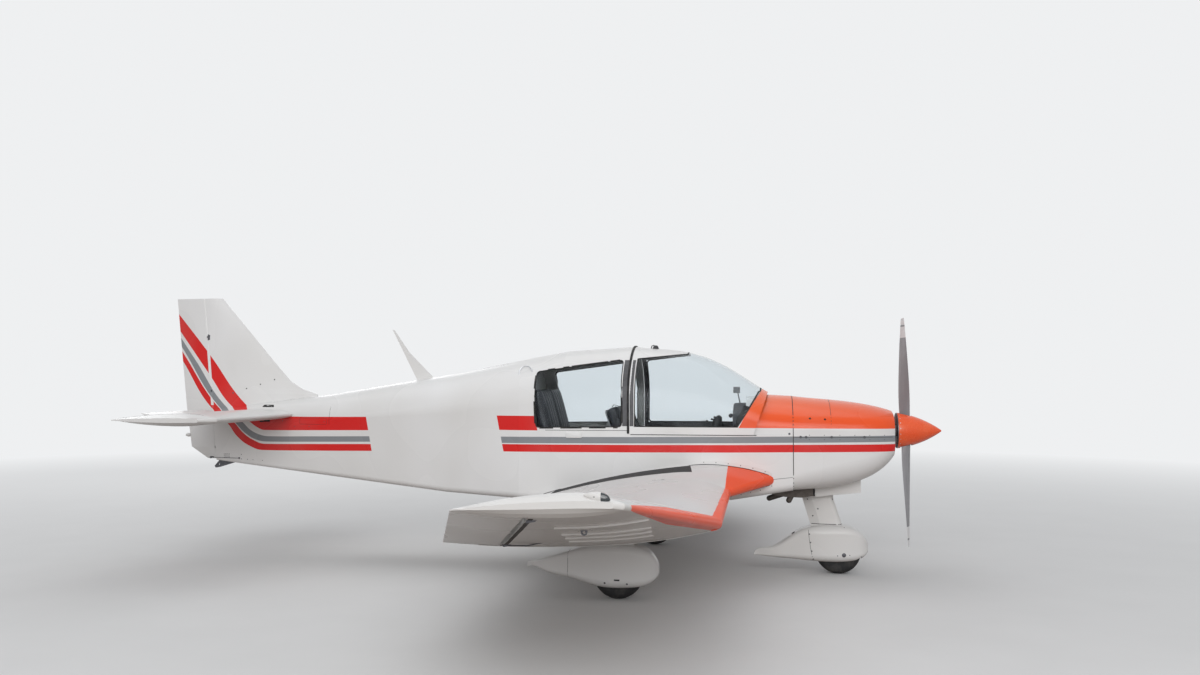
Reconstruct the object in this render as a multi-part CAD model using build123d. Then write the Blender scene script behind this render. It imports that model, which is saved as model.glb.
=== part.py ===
from build123d import *
import math
import os

# Four-seat low-wing light aeroplane with cranked wings, fixed three-wheel gear and a sliding canopy.
# Millimetres. +X points forward, +Y to the left wing, +Z up, and Z = 0 is the ground under the tyres.
# The origin is under the middle of the overall length, on the centre plane.
# Stations are written as distances aft of the propeller's plane.

# Overall lengths along the fuselage
TAIL_STATION = 6700.0          # propeller plane to the rudder's rearmost point
SPINNER_NOSE = 293.0           # propeller plane to the spinner's tip
PROP_X = (TAIL_STATION - SPINNER_NOSE) / 2

# Running clearances
GAP = 6.0                      # between parts that pass each other
PIN_GAP = 0.2                  # radial, between a hinge rod and its lug
SEAT_GAP = 0.3                 # between parts that lie on each other

# How far cutting blocks run past what they cut
OVER = 50.0
WIDE = 700.0                   # side distance outside the fuselage and the cabin
BELOW = 300.0                  # heights under and over the whole fuselage
ABOVE = 2600.0

# Fuselage lines
SKIN = 30.0                    # side wall with its stringers and trim
FIREWALL_STATION = 950.0
CANOPY_SILL_Z = 1190.0
ARCH_STATION = 2285.0          # seam between the sliding canopy and the fixed cabin roof
BULKHEAD_STATION = 3230.0      # rear wall of the cabin
FLOOR_Z = 735.0
BOOM_END_STATION = 5250.0      # end of the hollow behind the cabin
HATCH_WIDTH = 260.0            # opening in the cabin's rear wall
HATCH_SILL = 60.0              # its lower edge above the floor

# Sections: aft station, half width, bottom, bottom corner radius, shoulder height, crown, shoulder radius
TUB_SECTIONS = [
    (FIREWALL_STATION, 470.0, 735.0, 60.0),
    (1450.0, 535.0, 655.0, 60.0),
    (ARCH_STATION, 560.0, 632.0, 60.0),
]
REAR_SECTIONS = [
    (ARCH_STATION, 560.0, 632.0, 60.0, 1500.0, 1932.0, 300.0),
    (2880.0, 545.0, 632.0, 60.0, 1470.0, 1894.0, 290.0),
    (BULKHEAD_STATION, 520.0, 635.0, 55.0, 1430.0, 1832.0, 270.0),
    (3900.0, 425.0, 668.0, 50.0, 1350.0, 1700.0, 220.0),
    (5160.0, 235.0, 786.0, 40.0, 1270.0, 1498.0, 130.0),
    (6330.0, 44.0, 896.0, 12.0, 1330.0, 1372.0, 20.0),
]
CANOPY_BOTTOM = CANOPY_SILL_Z + SEAT_GAP
CANOPY_SECTIONS = [
    (1080.0, 490.0, CANOPY_BOTTOM, 0.0, 1255.0, 1500.0, 170.0),
    (1215.0, 514.0, CANOPY_BOTTOM, 0.0, 1290.0, 1578.0, 190.0),
    (1450.0, 543.0, CANOPY_BOTTOM, 0.0, 1370.0, 1730.0, 230.0),
    (1850.0, 556.0, CANOPY_BOTTOM, 0.0, 1460.0, 1886.0, 280.0),
    (ARCH_STATION, 566.0, CANOPY_BOTTOM, 0.0, 1500.0, 1932.0, 300.0),
]
DECK_SECTIONS = [
    (FIREWALL_STATION, 470.0, 1100.0, 0.0, 1240.0, 1503.0, 150.0),
    (1150.0, 480.0, 1100.0, 0.0, 1250.0, 1514.0, 160.0),
    (1330.0, 495.0, 1100.0, 0.0, 1260.0, 1500.0, 170.0),
]
DECK_SKIN = 18.0
COWL_SECTIONS = [
    (122.0, 300.0, 1015.0, 110.0, 1230.0, 1382.0, 120.0),
    (200.0, 352.0, 925.0, 150.0, 1225.0, 1406.0, 130.0),
    (390.0, 405.0, 812.0, 190.0, 1225.0, 1445.0, 140.0),
    (650.0, 446.0, 752.0, 190.0, 1230.0, 1475.0, 145.0),
    (FIREWALL_STATION - SEAT_GAP, 470.0, 735.0, 120.0, 1240.0, 1503.0, 150.0),
]
COWL_SKIN = 6.0
COWL_SPLIT_Z = 1172.0
INTAKE_Y = 205.0               # cooling intakes beside the spinner
INTAKE_Z = 1235.0
INTAKE_RADIUS = 72.0
SHAFT_HOLE_RADIUS = 70.0
COWL_OUTLET = (860.0, 990.0, -230.0, 230.0, 700.0, 790.0)

# Canopy and windows
CANOPY_SHELL = 14.0
GLASS = 5.0
GLASS_INSET = 3.0
CANOPY_FOOT_TOP = (1146.0, 1542.0)
CANOPY_FOOT_LOW = (1268.0, 1190.0)
CANOPY_HOLLOW_DROP = 60.0      # how far the room inside runs below the sill
CANOPY_GLASS_OUTLINE = [
    (2245.0, 1250.0),
    (1395.0, 1250.0),
    (1195.0, 1562.0),
    (1195.0, 2100.0),
    (1830.0, 2100.0),
    (1830.0, 1866.0),
    (2240.0, 1822.0),
]
REAR_WINDOW_OUTLINE = [
    (2345.0, 1246.0),
    (2352.0, 1812.0),
    (3105.0, 1713.0),
    (3086.0, 1236.0),
]
WINDOW_CORNER = 28.0

# Propeller and spinner
HUB_Z = 1213.0
PROP_RADIUS = 965.0
PROP_TILT = 6.6
SPINNER_RADIUS = 151.0
SPINNER_BASE = 72.0            # spinner's open rim, aft of the propeller's plane
SPINNER_WALL = 4.0
HUB_RADIUS = 62.0
HUB_NOSE = 55.0                # hub's front face, ahead of the propeller's plane
CUFF_RADIUS = 34.0
CUFF_REACH = 110.0
BLADE_SLOT_LENGTH = 96.0       # slots in the spinner, along and across the shaft
BLADE_SLOT_WIDTH = 100.0
# Blade sections: radius, chord, thickness, pitch angle from the propeller's plane
BLADE_SECTIONS = [
    (95.0, 92.0, 52.0, 50.0),
    (260.0, 128.0, 30.0, 38.0),
    (520.0, 146.0, 20.0, 25.0),
    (800.0, 118.0, 13.0, 17.0),
    (PROP_RADIUS, 66.0, 7.0, 14.0),
]

# Engine
ENGINE_LENGTH = 560.0
ENGINE_WIDTH = 590.0
ENGINE_HEIGHT = 300.0
ENGINE_REAR_GAP = 110.0
ENGINE_DROP = 30.0             # top face lowered under the cowl
CRANK_RADIUS = 45.0
MOUNT_RADIUS = 16.0
MOUNT_DROP = 15.0              # middle of the mounting tubes below the shaft
MOUNT_INNER = (200.0, 90.0)    # side distance and height of the tubes, at the engine and at the firewall
MOUNT_OUTER = (260.0, 110.0)

# Wing: one rectangular inner panel and one tapered, raised outer panel on each side
WING_LE_STATION = 1437.0
WING_CHORD = 1745.0
WING_LE_Z = 775.0
WING_TE_Z = 620.0
CRANK_Y = 2730.0
SPAN_Y = 4360.0
TIP_CAP = 60.0                 # width of the rounded cap outboard of the last rib
TIP_Y = SPAN_Y - TIP_CAP
TIP_LE_STATION = 1798.0
TIP_CHORD = 850.0
TIP_LE_Z = 1055.0
TIP_TE_Z = 1020.0
WING_NOSE = 0.020              # nose radius, share of chord
WING_UPPER = 0.086             # highest point above the chord line, share of chord
WING_UPPER_AT = 0.30
WING_LOWER = 0.049
WING_LOWER_AT = 0.36
GLOVE_Y = 1050.0               # where the swept root fairing meets the straight leading edge
ROOT_LE_STATION = 1143.0
ROOT_LE_Z = 835.0
CORE_Y = 400.0                 # the root's section carried on inside the fuselage
CORE_LE_STATION = ROOT_LE_STATION - 90.0
ROOT_UPPER = 0.088
TE_THICKNESS = 6.0

# Flaps and ailerons
FLAP_CHORD = 210.0
FLAP_INNER_Y = 640.0
FLAP_OUTER_Y = 2690.0
AILERON_CHORD = 360.0
AILERON_LEAD = 24.0            # upper skin's edge ahead of the aileron's hinge
FLAP_NOSE = 14.0
AILERON_INNER_END = 40.0       # along the panel, from the crank to the aileron
AILERON_OUTER_END = 36.0       # from the aileron to the tip cap's rib
HINGE_ROD = 3.0
LUG_RADIUS = 8.0
LUG_WIDTH = 8.0
LUG_BITE = 12.0                # how far a lug's arm runs into the fixed surface

# Tail surfaces
FIN_TOP_Z = 2405.0
RUDDER_FOOT_Z = 902.0
RUDDER_HINGE_LOW = (6262.0, RUDDER_FOOT_Z)
RUDDER_HINGE_HIGH = (6418.0, FIN_TOP_Z)
RUDDER_NOSE_LOW = 43.0         # half thickness at the hinge, at the foot and at the top
RUDDER_NOSE_HIGH = 24.0
# Rudder sections: height, trailing edge station
RUDDER_SECTIONS = [
    (RUDDER_FOOT_Z, 6360.0),
    (1008.0, 6527.0),
    (1374.0, 6584.0),
    (FIN_TOP_Z, TAIL_STATION),
]
RUDDER_TE = 8.0
RUDDER_LEAD = 16.0             # rear edge of the fin and fuselage ahead of the hinge
RUDDER_LUGS_BODY = (0.07,)     # places of the lugs, as shares of the hinge line
RUDDER_LUGS_FIN = (0.42, 0.757)
FIN_STEP = 4.0                 # fin's rear edge proud of the rudder's nose
# Fin sections: height, leading edge station, greatest half thickness
FIN_SECTIONS = [
    (1300.0, 5235.0, 46.0),
    (1505.0, 5275.0, 45.0),
    (1555.0, 5428.0, 43.0),
    (1625.0, 5540.0, 42.0),
    (1750.0, 5656.0, 40.0),
    (FIN_TOP_Z, 6235.0, 28.0),
]
FIN_NOSE = 9.0
FIN_THICKEST = 0.55            # share of the chord
STAB_LE_STATION = 5430.0
STAB_CHORD = 900.0
STAB_Z = 1318.0
STAB_HALF_SPAN = 1600.0
STAB_THICKNESS = 0.055         # half thickness, share of chord
STAB_PIVOT = 225.0             # pivot tube behind the leading edge
STAB_TUBE = 30.0
STAB_TUBE_REACH = 400.0
STAB_TIP = 110.0               # width of the rounded tips
STAB_TIP_SWEEP = (100.0, 60.0)
STAB_TIP_THICKNESS = 0.025
STAB_ROOT_GAP = 2.5 * GAP      # between the surface and the fuselage's side
STAB_CORE_BACKS = (180.0, -OVER)  # from there aft the two halves' roots run level
TAB_CHORD = 130.0
TAB_INNER_Y = 150.0
TAB_OUTER_Y = 1120.0
TAB_REST = 17.0

# Main gear
TRACK = 2580.0
MAIN_WHEEL_STATION = 2270.0
WHEEL_RADIUS = 190.0
TYRE_WIDTH = 150.0
RIM_RADIUS = 82.0
AXLE_RADIUS = 16.0
STRUT_RADIUS = 30.0
STRUT_STATION = MAIN_WHEEL_STATION + 20.0
STRUT_LOW_Z = 390.0
STRUT_TOP_Z = 760.0
ARM_THICKNESS = 9.0
ARM_HALF = 36.0                # half length of a fork arm at the crown and at the axle
ARM_FOOT_HALF = 24.0
CROWN_THICKNESS = 8.0
SPAT_SKIN = 5.0
FORK_CROWN_Z = 2 * WHEEL_RADIUS + GAP + CROWN_THICKNESS
SPAT_MOUTH_Z = 90.0            # height below the axle where the spat meets the tyre
SPAT_CUT_Z = 170.0
# Spat sections: aft of the wheel's axle, bottom, top, half width
MAIN_SPAT_SECTIONS = [
    (-306.0, 190.0, 258.0, 30.0),
    (-265.0, 140.0, 330.0, 78.0),
    (-190.0, 106.0, 384.0, 112.0),
    (-70.0, 92.0, 412.0, 128.0),
    (90.0, 92.0, 414.0, 130.0),
    (230.0, 118.0, 392.0, 112.0),
    (400.0, 158.0, 340.0, 80.0),
    (570.0, 196.0, 288.0, 44.0),
    (700.0, 214.0, 256.0, 12.0),
]
# Nose spat: the same, lower behind
NOSE_SPAT_SECTIONS = [
    (-246.0, 192.0, 262.0, 30.0),
    (-205.0, 146.0, 334.0, 76.0),
    (-130.0, 118.0, 386.0, 110.0),
    (-20.0, 106.0, 408.0, 128.0),
    (140.0, 106.0, 406.0, 130.0),
    (260.0, 112.0, 386.0, 112.0),
    (420.0, 122.0, 296.0, 78.0),
    (600.0, 132.0, 206.0, 40.0),
    (704.0, 138.0, 162.0, 12.0),
]
LEG_CHORD = 380.0
LEG_THICKNESS = 112.0
LEG_FRONT = MAIN_WHEEL_STATION - 120.0
LEG_LOW_Z = 360.0
LEG_TOP_Z = 700.0
LEG_SPREAD = (30.0, 6.0)       # added to its chord and thickness at the top

# Nose gear
NOSE_WHEEL_STATION = 568.0
NOSE_STRUT_TOP = (817.0, 900.0)
NOSE_STRUT_FOOT = (657.0, 400.0)
NOSE_STRUT_RADIUS = 28.0
NOSE_FAIRING_TOP = (605.0, 864.0)     # front and rear stations at its top
NOSE_FAIRING_FOOT = (529.0, 796.0)
NOSE_FAIRING_TOP_Z = 640.0
NOSE_FAIRING_THICKNESS = 92.0
NOSE_FAIRING_LOW_Z = 340.0
NOSE_FAIRING_LEAD = 20.0       # its foot carried on ahead inside the spat
BEARING_WALL = 14.0
BEARING_SHARES = (0.66, 0.96)  # bearing's ends, as shares of the strut
BEARING_ARM = (787.0, FIREWALL_STATION, -40.0, 40.0, 770.0, 850.0)

# Fittings outside
SCOOP_STATIONS = (385.0, 760.0)
SCOOP_WIDTH = 280.0
SCOOP_LIP_Z = 697.0
SCOOP_REAR_Z = 657.0
SCOOP_ROOT_Z = 900.0
SCOOP_WALL = 20.0
SCOOP_LIP = 12.0
SCOOP_DEPTH = 160.0
SCOOP_ROOF_Z = 790.0
EXHAUST_RADIUS = 24.0
# Exhaust routes: points of station, side distance, height
EXHAUST_ROUTES = [
    [(800.0, -150.0, 1080.0), (895.0, -150.0, 790.0), (978.0, -150.0, 625.0)],
    [(800.0, 150.0, 1080.0), (895.0, 150.0, 790.0), (955.0, 150.0, 668.0), (1140.0, 150.0, 606.0)],
]
AERIAL_THICKNESS = 14.0
AERIAL_OUTLINE = [
    (4290.0, 1600.0),
    (4548.0, 2096.0),
    (4535.0, 2096.0),
    (4392.0, 1893.0),
    (4162.0, 1664.0),
    (4162.0, 1600.0),
]
SKID_THICKNESS = 18.0
SKID_OUTLINE = [
    (6080.0, 940.0),
    (6190.0, 940.0),
    (6246.0, 880.0),
    (6290.0, 830.0),
    (6278.0, 812.0),
    (6240.0, 818.0),
    (6080.0, 866.0),
]
SKID_EYE = (6246.0, 844.0)
TIE_BORE = 8.0
TIE_RADIUS = 17.0
TIE_THICKNESS = 8.0
TIE_STEM = 90.0
TIE_EYE = (2110.0, 3700.0)     # station and distance out
TIE_DROP = 101.993631           # the eye below the height of the panel's leading edge

# Cabin: side outlines of (aft, z) points
SEAT_Y = 250.0
SEAT_WIDTH = 440.0
SEAT_ROUND = 20.0
SEAT_OUTLINE = [
    (1800.0, 885.0),
    (2330.0, 885.0),
    (2505.0, 1390.0),
    (2440.0, 1425.0),
    (2385.0, 1400.0),
    (2250.0, 1010.0),
    (1800.0, 1010.0),
]
SEAT_BASE_STATIONS = (1860.0, 2270.0)
SEAT_BASE_INSET = 30.0
SEAT_BASE_WALL = 25.0
SEAT_BASE_FOOT = 20.0
BENCH_WIDTH = 900.0
BENCH_OUTLINE = [
    (2640.0, 735.0),
    (3040.0, 735.0),
    (3160.0, 1560.0),
    (3075.0, 1575.0),
    (2930.0, 1005.0),
    (2640.0, 1005.0),
]
PANEL_ROOM = (1298.0, 1326.0, -600.0, 600.0, 1000.0, 1600.0)
STICK_FOOT = (1706.0, FLOOR_Z - 20.0)
STICK_NECK = (1600.0, 1130.0)
STICK_TOP = (1590.0, 1235.0)
STICK_RADIUS = 12.0
GRIP_RADIUS = 20.0
STICK_ROOM = (1500.0, 1800.0, -500.0, 500.0, FLOOR_Z + SEAT_GAP, 1300.0)


def at(aft, y, z):
    """Point from a station aft of the propeller's plane, a distance to the left and a height."""
    return Vector(PROP_X - aft, y, z)


def side_prism(outline, y_low, y_high):
    """Upright outline of (aft, z) points, as a block from one side distance to another."""
    face = Face(Wire.make_polygon([at(aft, y_low, z) for aft, z in outline], close=True))
    return Solid.extrude(face, Vector(0, y_high - y_low, 0))


def plan_prism(outline, z_low, z_high):
    """Level outline of (aft, y) points, as a block from one height to another."""
    face = Face(Wire.make_polygon([at(aft, y, z_low) for aft, y in outline], close=True))
    return Solid.extrude(face, Vector(0, 0, z_high - z_low))


def block(aft_low, aft_high, y_low, y_high, z_low, z_high):
    """Box between two stations, two side distances and two heights."""
    corners = [(aft_low, z_low), (aft_high, z_low), (aft_high, z_high), (aft_low, z_high)]
    return side_prism(corners, y_low, y_high)


def rod(start, end, radius):
    """Round bar between two points."""
    run = end - start
    return Solid.make_cylinder(radius, run.length, Plane(origin=start, z_dir=run))


def cone_bar(start, end, start_radius, end_radius):
    """Tapered round bar between two points."""
    run = end - start
    if abs(start_radius - end_radius) < 0.001:
        return rod(start, end, start_radius)
    return Solid.make_cone(start_radius, end_radius, run.length, Plane(origin=start, z_dir=run))


def arch_wire(aft, half_width, bottom, corner, shoulder_z, crown_z, shoulder, inset=0.0):
    """Fuselage section: flat bottom, upright sides, and an arch of two shoulder arcs and a crown arc."""
    a = half_width - inset
    low = bottom + inset
    high = crown_z - inset
    round_low = max(corner - inset, 0.0)
    round_high = max(shoulder - inset, 5.0)
    half_turn = math.atan((high - shoulder_z - round_high) / (a - round_high))
    turn = 2 * half_turn
    join_y = a - round_high * (1 - math.sin(turn))
    join_z = shoulder_z + round_high * math.cos(turn)
    mid = (math.pi / 2 - turn) / 2
    mid_y = a - round_high + round_high * math.cos(mid)
    mid_z = shoulder_z + round_high * math.sin(mid)
    edges = []
    if round_low > 0:
        diag = round_low * (1 - math.sqrt(0.5))
        edges.append(Line(at(aft, -a + round_low, low), at(aft, a - round_low, low)))
        edges.append(ThreePointArc(at(aft, a - round_low, low), at(aft, a - diag, low + diag),
                                   at(aft, a, low + round_low)))
    else:
        edges.append(Line(at(aft, -a, low), at(aft, a, low)))
    edges.append(Line(at(aft, a, low + round_low), at(aft, a, shoulder_z)))
    edges.append(ThreePointArc(at(aft, a, shoulder_z), at(aft, mid_y, mid_z), at(aft, join_y, join_z)))
    edges.append(ThreePointArc(at(aft, join_y, join_z), at(aft, 0, high), at(aft, -join_y, join_z)))
    edges.append(ThreePointArc(at(aft, -join_y, join_z), at(aft, -mid_y, mid_z), at(aft, -a, shoulder_z)))
    edges.append(Line(at(aft, -a, shoulder_z), at(aft, -a, low + round_low)))
    if round_low > 0:
        edges.append(ThreePointArc(at(aft, -a, low + round_low), at(aft, -a + diag, low + diag),
                                   at(aft, -a + round_low, low)))
    return Wire(edges)


def tub_wire(aft, half_width, bottom, corner, inset=0.0, top=CANOPY_SILL_Z):
    """Open-topped fuselage section below the canopy's sill, closed by a flat line."""
    a = half_width - inset
    low = bottom + inset
    r = max(corner - inset, 8.0)
    diag = r * (1 - math.sqrt(0.5))
    return Wire([
        Line(at(aft, -a + r, low), at(aft, a - r, low)),
        ThreePointArc(at(aft, a - r, low), at(aft, a - diag, low + diag), at(aft, a, low + r)),
        Line(at(aft, a, low + r), at(aft, a, top)),
        Line(at(aft, a, top), at(aft, -a, top)),
        Line(at(aft, -a, top), at(aft, -a, low + r)),
        ThreePointArc(at(aft, -a, low + r), at(aft, -a + diag, low + diag), at(aft, -a + r, low)),
    ])


def lofted(wires, ruled=True):
    """Solid through a row of sections."""
    return Solid.make_loft(wires, ruled)


def arch_body(sections, inset=0.0, ruled=True):
    """Solid through a table of fuselage sections, pulled in by a wall thickness."""
    return lofted([arch_wire(*row, inset=inset) for row in sections], ruled)


def between(sections, station):
    """Row of a section table at a station, by straight lines between its rows."""
    for front, back in zip(sections, sections[1:]):
        if front[0] <= station <= back[0]:
            share = (station - front[0]) / (back[0] - front[0])
            return tuple(a + share * (b - a) for a, b in zip(front, back))
    raise ValueError("station outside the table")


def half_width_at(station):
    """Half width of the fuselage's flat side at a station."""
    table = TUB_SECTIONS if station <= ARCH_STATION else REAR_SECTIONS
    return between(table, station)[1]


def mirrored(shape):
    """The same piece on the right-hand side."""
    return shape.mirror(Plane.XZ)


def fuselage():
    """Wooden fuselage: open tub under the canopy, cabin roof and boom behind it, deck ahead of the panel."""
    tub = lofted([tub_wire(*row) for row in TUB_SECTIONS])
    rear = arch_body(REAR_SECTIONS)
    deck_top = arch_body(DECK_SECTIONS)
    outer = tub + rear + deck_top
    cabin_rear_rows = [row for row in REAR_SECTIONS if row[0] < BULKHEAD_STATION]
    cabin_rear_rows.append(between(REAR_SECTIONS, BULKHEAD_STATION - SKIN))
    room_rear = arch_body(cabin_rear_rows, inset=SKIN)
    front = FIREWALL_STATION + SKIN
    room_rows = [between(TUB_SECTIONS, front)] + [row for row in TUB_SECTIONS if row[0] > front]
    room_front = lofted([tub_wire(*row, inset=SKIN, top=CANOPY_SILL_Z + 1) for row in room_rows])
    deck_end = (DECK_SECTIONS[2][0] + 1,) + DECK_SECTIONS[2][1:]
    under_deck = [between(DECK_SECTIONS, front), DECK_SECTIONS[1], deck_end]
    room_deck = arch_body(under_deck, inset=DECK_SKIN)
    below_floor = block(FIREWALL_STATION, BULKHEAD_STATION + OVER, -WIDE, WIDE, BELOW, FLOOR_Z)
    room = (room_rear + room_front + room_deck) - below_floor
    windows = side_prism(REAR_WINDOW_OUTLINE, -WIDE, WIDE)
    windows = fillet(windows.edges().filter_by(Axis.Y), WINDOW_CORNER)
    boom_front = BULKHEAD_STATION + SKIN
    boom_rows = [between(REAR_SECTIONS, boom_front)]
    boom_rows += [row for row in REAR_SECTIONS if boom_front < row[0] < BOOM_END_STATION]
    boom_rows.append(between(REAR_SECTIONS, BOOM_END_STATION))
    boom = arch_body(boom_rows, inset=SKIN)
    hatch = block(BULKHEAD_STATION - 2 * SKIN, boom_front + SKIN, -HATCH_WIDTH / 2, HATCH_WIDTH / 2,
                  FLOOR_Z + HATCH_SILL, FLOOR_Z + HATCH_SILL + HATCH_WIDTH)
    return outer - room - windows - boom - hatch


def rear_windows():
    """Rear side panes, one for each side."""
    outer = arch_body(REAR_SECTIONS[:4], inset=GLASS_INSET)
    inner = arch_body(REAR_SECTIONS[:4], inset=GLASS_INSET + GLASS)
    cut = side_prism(REAR_WINDOW_OUTLINE, OVER, WIDE)
    cut = fillet(cut.edges().filter_by(Axis.Y), WINDOW_CORNER)
    pane = (outer - inner) & cut
    return pane, mirrored(pane)


def canopy():
    """Sliding canopy frame: foot band, side rails, roof strip and rear arch, with its glazing."""
    outer = arch_body(CANOPY_SECTIONS, ruled=False)
    lowered = [row[:2] + (row[2] - CANOPY_HOLLOW_DROP,) + row[3:] for row in CANOPY_SECTIONS]
    shell = outer - arch_body(lowered, inset=CANOPY_SHELL, ruled=False)
    foot_low = CANOPY_FOOT_LOW
    foot_top = CANOPY_FOOT_TOP
    front = CANOPY_SECTIONS[0][0] - OVER
    ahead = side_prism([(front, BELOW), (foot_low[0], BELOW), foot_low, foot_top, (foot_top[0], ABOVE),
                        (front, ABOVE)], -WIDE, WIDE)
    shell = shell - ahead
    shell = shell - block(ARCH_STATION - GAP / 2, ARCH_STATION + OVER, -WIDE, WIDE, BELOW, ABOVE)
    opening = side_prism(CANOPY_GLASS_OUTLINE, -WIDE, WIDE)
    frame = shell - opening
    glass_outer = arch_body(CANOPY_SECTIONS, inset=GLASS_INSET, ruled=False)
    glass_inner = arch_body(lowered, inset=GLASS_INSET + GLASS, ruled=False)
    glass = (glass_outer - glass_inner) & opening
    return frame, glass


def cowls():
    """Engine cowling in an upper and a lower half, open inside, with two cooling intakes in front."""
    outer = arch_body(COWL_SECTIONS, ruled=False)
    inner_rows = [(COWL_SECTIONS[0][0] + COWL_SKIN,) + COWL_SECTIONS[0][1:]] + COWL_SECTIONS[1:-1]
    inner_rows.append((COWL_SECTIONS[-1][0] + 1,) + COWL_SECTIONS[-1][1:])
    inner = arch_body(inner_rows, inset=COWL_SKIN, ruled=False)
    shell = outer - inner
    front = COWL_SECTIONS[0][0]
    for side in (-1, 1):
        mouth = rod(at(front - OVER, side * INTAKE_Y, INTAKE_Z), at(front + OVER, side * INTAKE_Y, INTAKE_Z),
                    INTAKE_RADIUS)
        shell = shell - mouth
    shell = shell - rod(at(front - OVER, 0, HUB_Z), at(front + OVER, 0, HUB_Z), SHAFT_HOLE_RADIUS)
    shell = shell - block(*COWL_OUTLET)
    shell = shell - nose_strut_bar(NOSE_STRUT_RADIUS + BEARING_WALL + GAP)
    upper = shell & block(0, FIREWALL_STATION, -WIDE, WIDE, COWL_SPLIT_Z, ABOVE)
    lower = shell & block(0, FIREWALL_STATION, -WIDE, WIDE, BELOW, COWL_SPLIT_Z)
    return upper, lower


def nose_strut_bar(radius):
    """Round bar along the nose leg's steering axis, for the strut and the holes round it."""
    top = at(NOSE_STRUT_TOP[0], 0, NOSE_STRUT_TOP[1])
    foot = at(NOSE_STRUT_FOOT[0], 0, NOSE_STRUT_FOOT[1])
    return rod(foot, top, radius)


def airfoil_wire(y, le_station, le_z, te_station, te_z, upper=WING_UPPER, lower=WING_LOWER):
    """Wing section at a distance from the centre plane: a round nose and two tangent arcs on each face."""
    run = te_station - le_station
    drop = te_z - le_z
    chord = math.hypot(run, drop)
    cos_i = run / chord
    sin_i = drop / chord
    nose = WING_NOSE * chord

    def spot(along, above):
        return at(le_station + along * cos_i - above * sin_i, y, le_z + along * sin_i + above * cos_i)

    def face(high, high_at):
        turn = 2 * math.atan((high - nose) / (high_at - nose))
        join = (nose * (1 - math.sin(turn)), nose * math.cos(turn))
        big = nose + (high_at - nose) / math.sin(turn)
        half = turn / 2
        mid = (high_at - big * math.sin(half), high - big * (1 - math.cos(half)))
        back = chord - high_at
        tail_drop = high - TE_THICKNESS / 2
        radius = (back ** 2 + tail_drop ** 2) / (2 * tail_drop)
        rear_half = math.asin(back / radius) / 2
        rear_mid = (high_at + radius * math.sin(rear_half), high - radius * (1 - math.cos(rear_half)))
        return join, mid, rear_mid

    up_at = WING_UPPER_AT * chord
    low_at = WING_LOWER_AT * chord
    up_join, up_mid, up_rear = face(upper * chord, up_at)
    low_join, low_mid, low_rear = face(lower * chord, low_at)
    half_te = TE_THICKNESS / 2
    return Wire([
        ThreePointArc(spot(low_join[0], -low_join[1]), spot(0, 0), spot(*up_join)),
        ThreePointArc(spot(*up_join), spot(*up_mid), spot(up_at, upper * chord)),
        ThreePointArc(spot(up_at, upper * chord), spot(*up_rear), spot(chord, half_te)),
        Line(spot(chord, half_te), spot(chord, -half_te)),
        ThreePointArc(spot(chord, -half_te), spot(low_rear[0], -low_rear[1]), spot(low_at, -lower * chord)),
        ThreePointArc(spot(low_at, -lower * chord), spot(low_mid[0], -low_mid[1]),
                      spot(low_join[0], -low_join[1])),
    ])


def inner_wing_blank():
    """Whole left inner panel with its swept root fairing, before the flap is cut out."""
    te = WING_LE_STATION + WING_CHORD
    wires = [
        airfoil_wire(CORE_Y, CORE_LE_STATION, ROOT_LE_Z, te, WING_TE_Z, upper=ROOT_UPPER),
        airfoil_wire(GLOVE_Y, WING_LE_STATION, WING_LE_Z, te, WING_TE_Z),
        airfoil_wire(CRANK_Y, WING_LE_STATION, WING_LE_Z, te, WING_TE_Z),
    ]
    return lofted(wires)


def outer_wing_blank():
    """Whole left outer panel, before the aileron is cut out."""
    te = WING_LE_STATION + WING_CHORD
    tip_te = TIP_LE_STATION + TIP_CHORD
    return lofted([
        airfoil_wire(CRANK_Y, WING_LE_STATION, WING_LE_Z, te, WING_TE_Z),
        airfoil_wire(TIP_Y, TIP_LE_STATION, TIP_LE_Z, tip_te, TIP_TE_Z),
    ])


def side_blank():
    """Block inside the fuselage's flat sides, for trimming the wing's root against them."""
    rows = [row[:2] for row in TUB_SECTIONS] + [row[:2] for row in REAR_SECTIONS[1:]]
    left = [(aft, width) for aft, width in rows]
    right = [(aft, -width) for aft, width in reversed(rows)]
    front = ROOT_LE_STATION - BELOW
    return plan_prism([(front, rows[0][1])] + left + right + [(front, -rows[0][1])], BELOW, ABOVE)


def hinge_lugs(low, high, centres, reach):
    """Lug plates of a fixed surface: an eye on the hinge line and an arm of a given reach vector."""
    run = (high - low).normalized()
    plates = []
    for share in centres:
        centre = low + (high - low) * share
        eye = rod(centre - run * (LUG_WIDTH / 2), centre + run * (LUG_WIDTH / 2), LUG_RADIUS)
        frame = Plane(origin=centre, x_dir=reach, z_dir=run)
        arm = frame * Pos(reach.length / 2, 0, 0) * Box(reach.length, LUG_RADIUS * 1.5, LUG_WIDTH)
        plates.append(eye + arm)
    return plates


def lug_slots(low, high, centres, reach):
    """Room in a moving surface for the lug plates."""
    run = (high - low).normalized()
    width = LUG_WIDTH + 2 * GAP
    slots = []
    for share in centres:
        centre = low + (high - low) * share
        disc = rod(centre - run * (width / 2), centre + run * (width / 2), LUG_RADIUS + GAP)
        frame = Plane(origin=centre, x_dir=reach, z_dir=run)
        slots.append(disc + frame * Pos(100, 0, 0) * Box(200, 200, width))
    return slots


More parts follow.
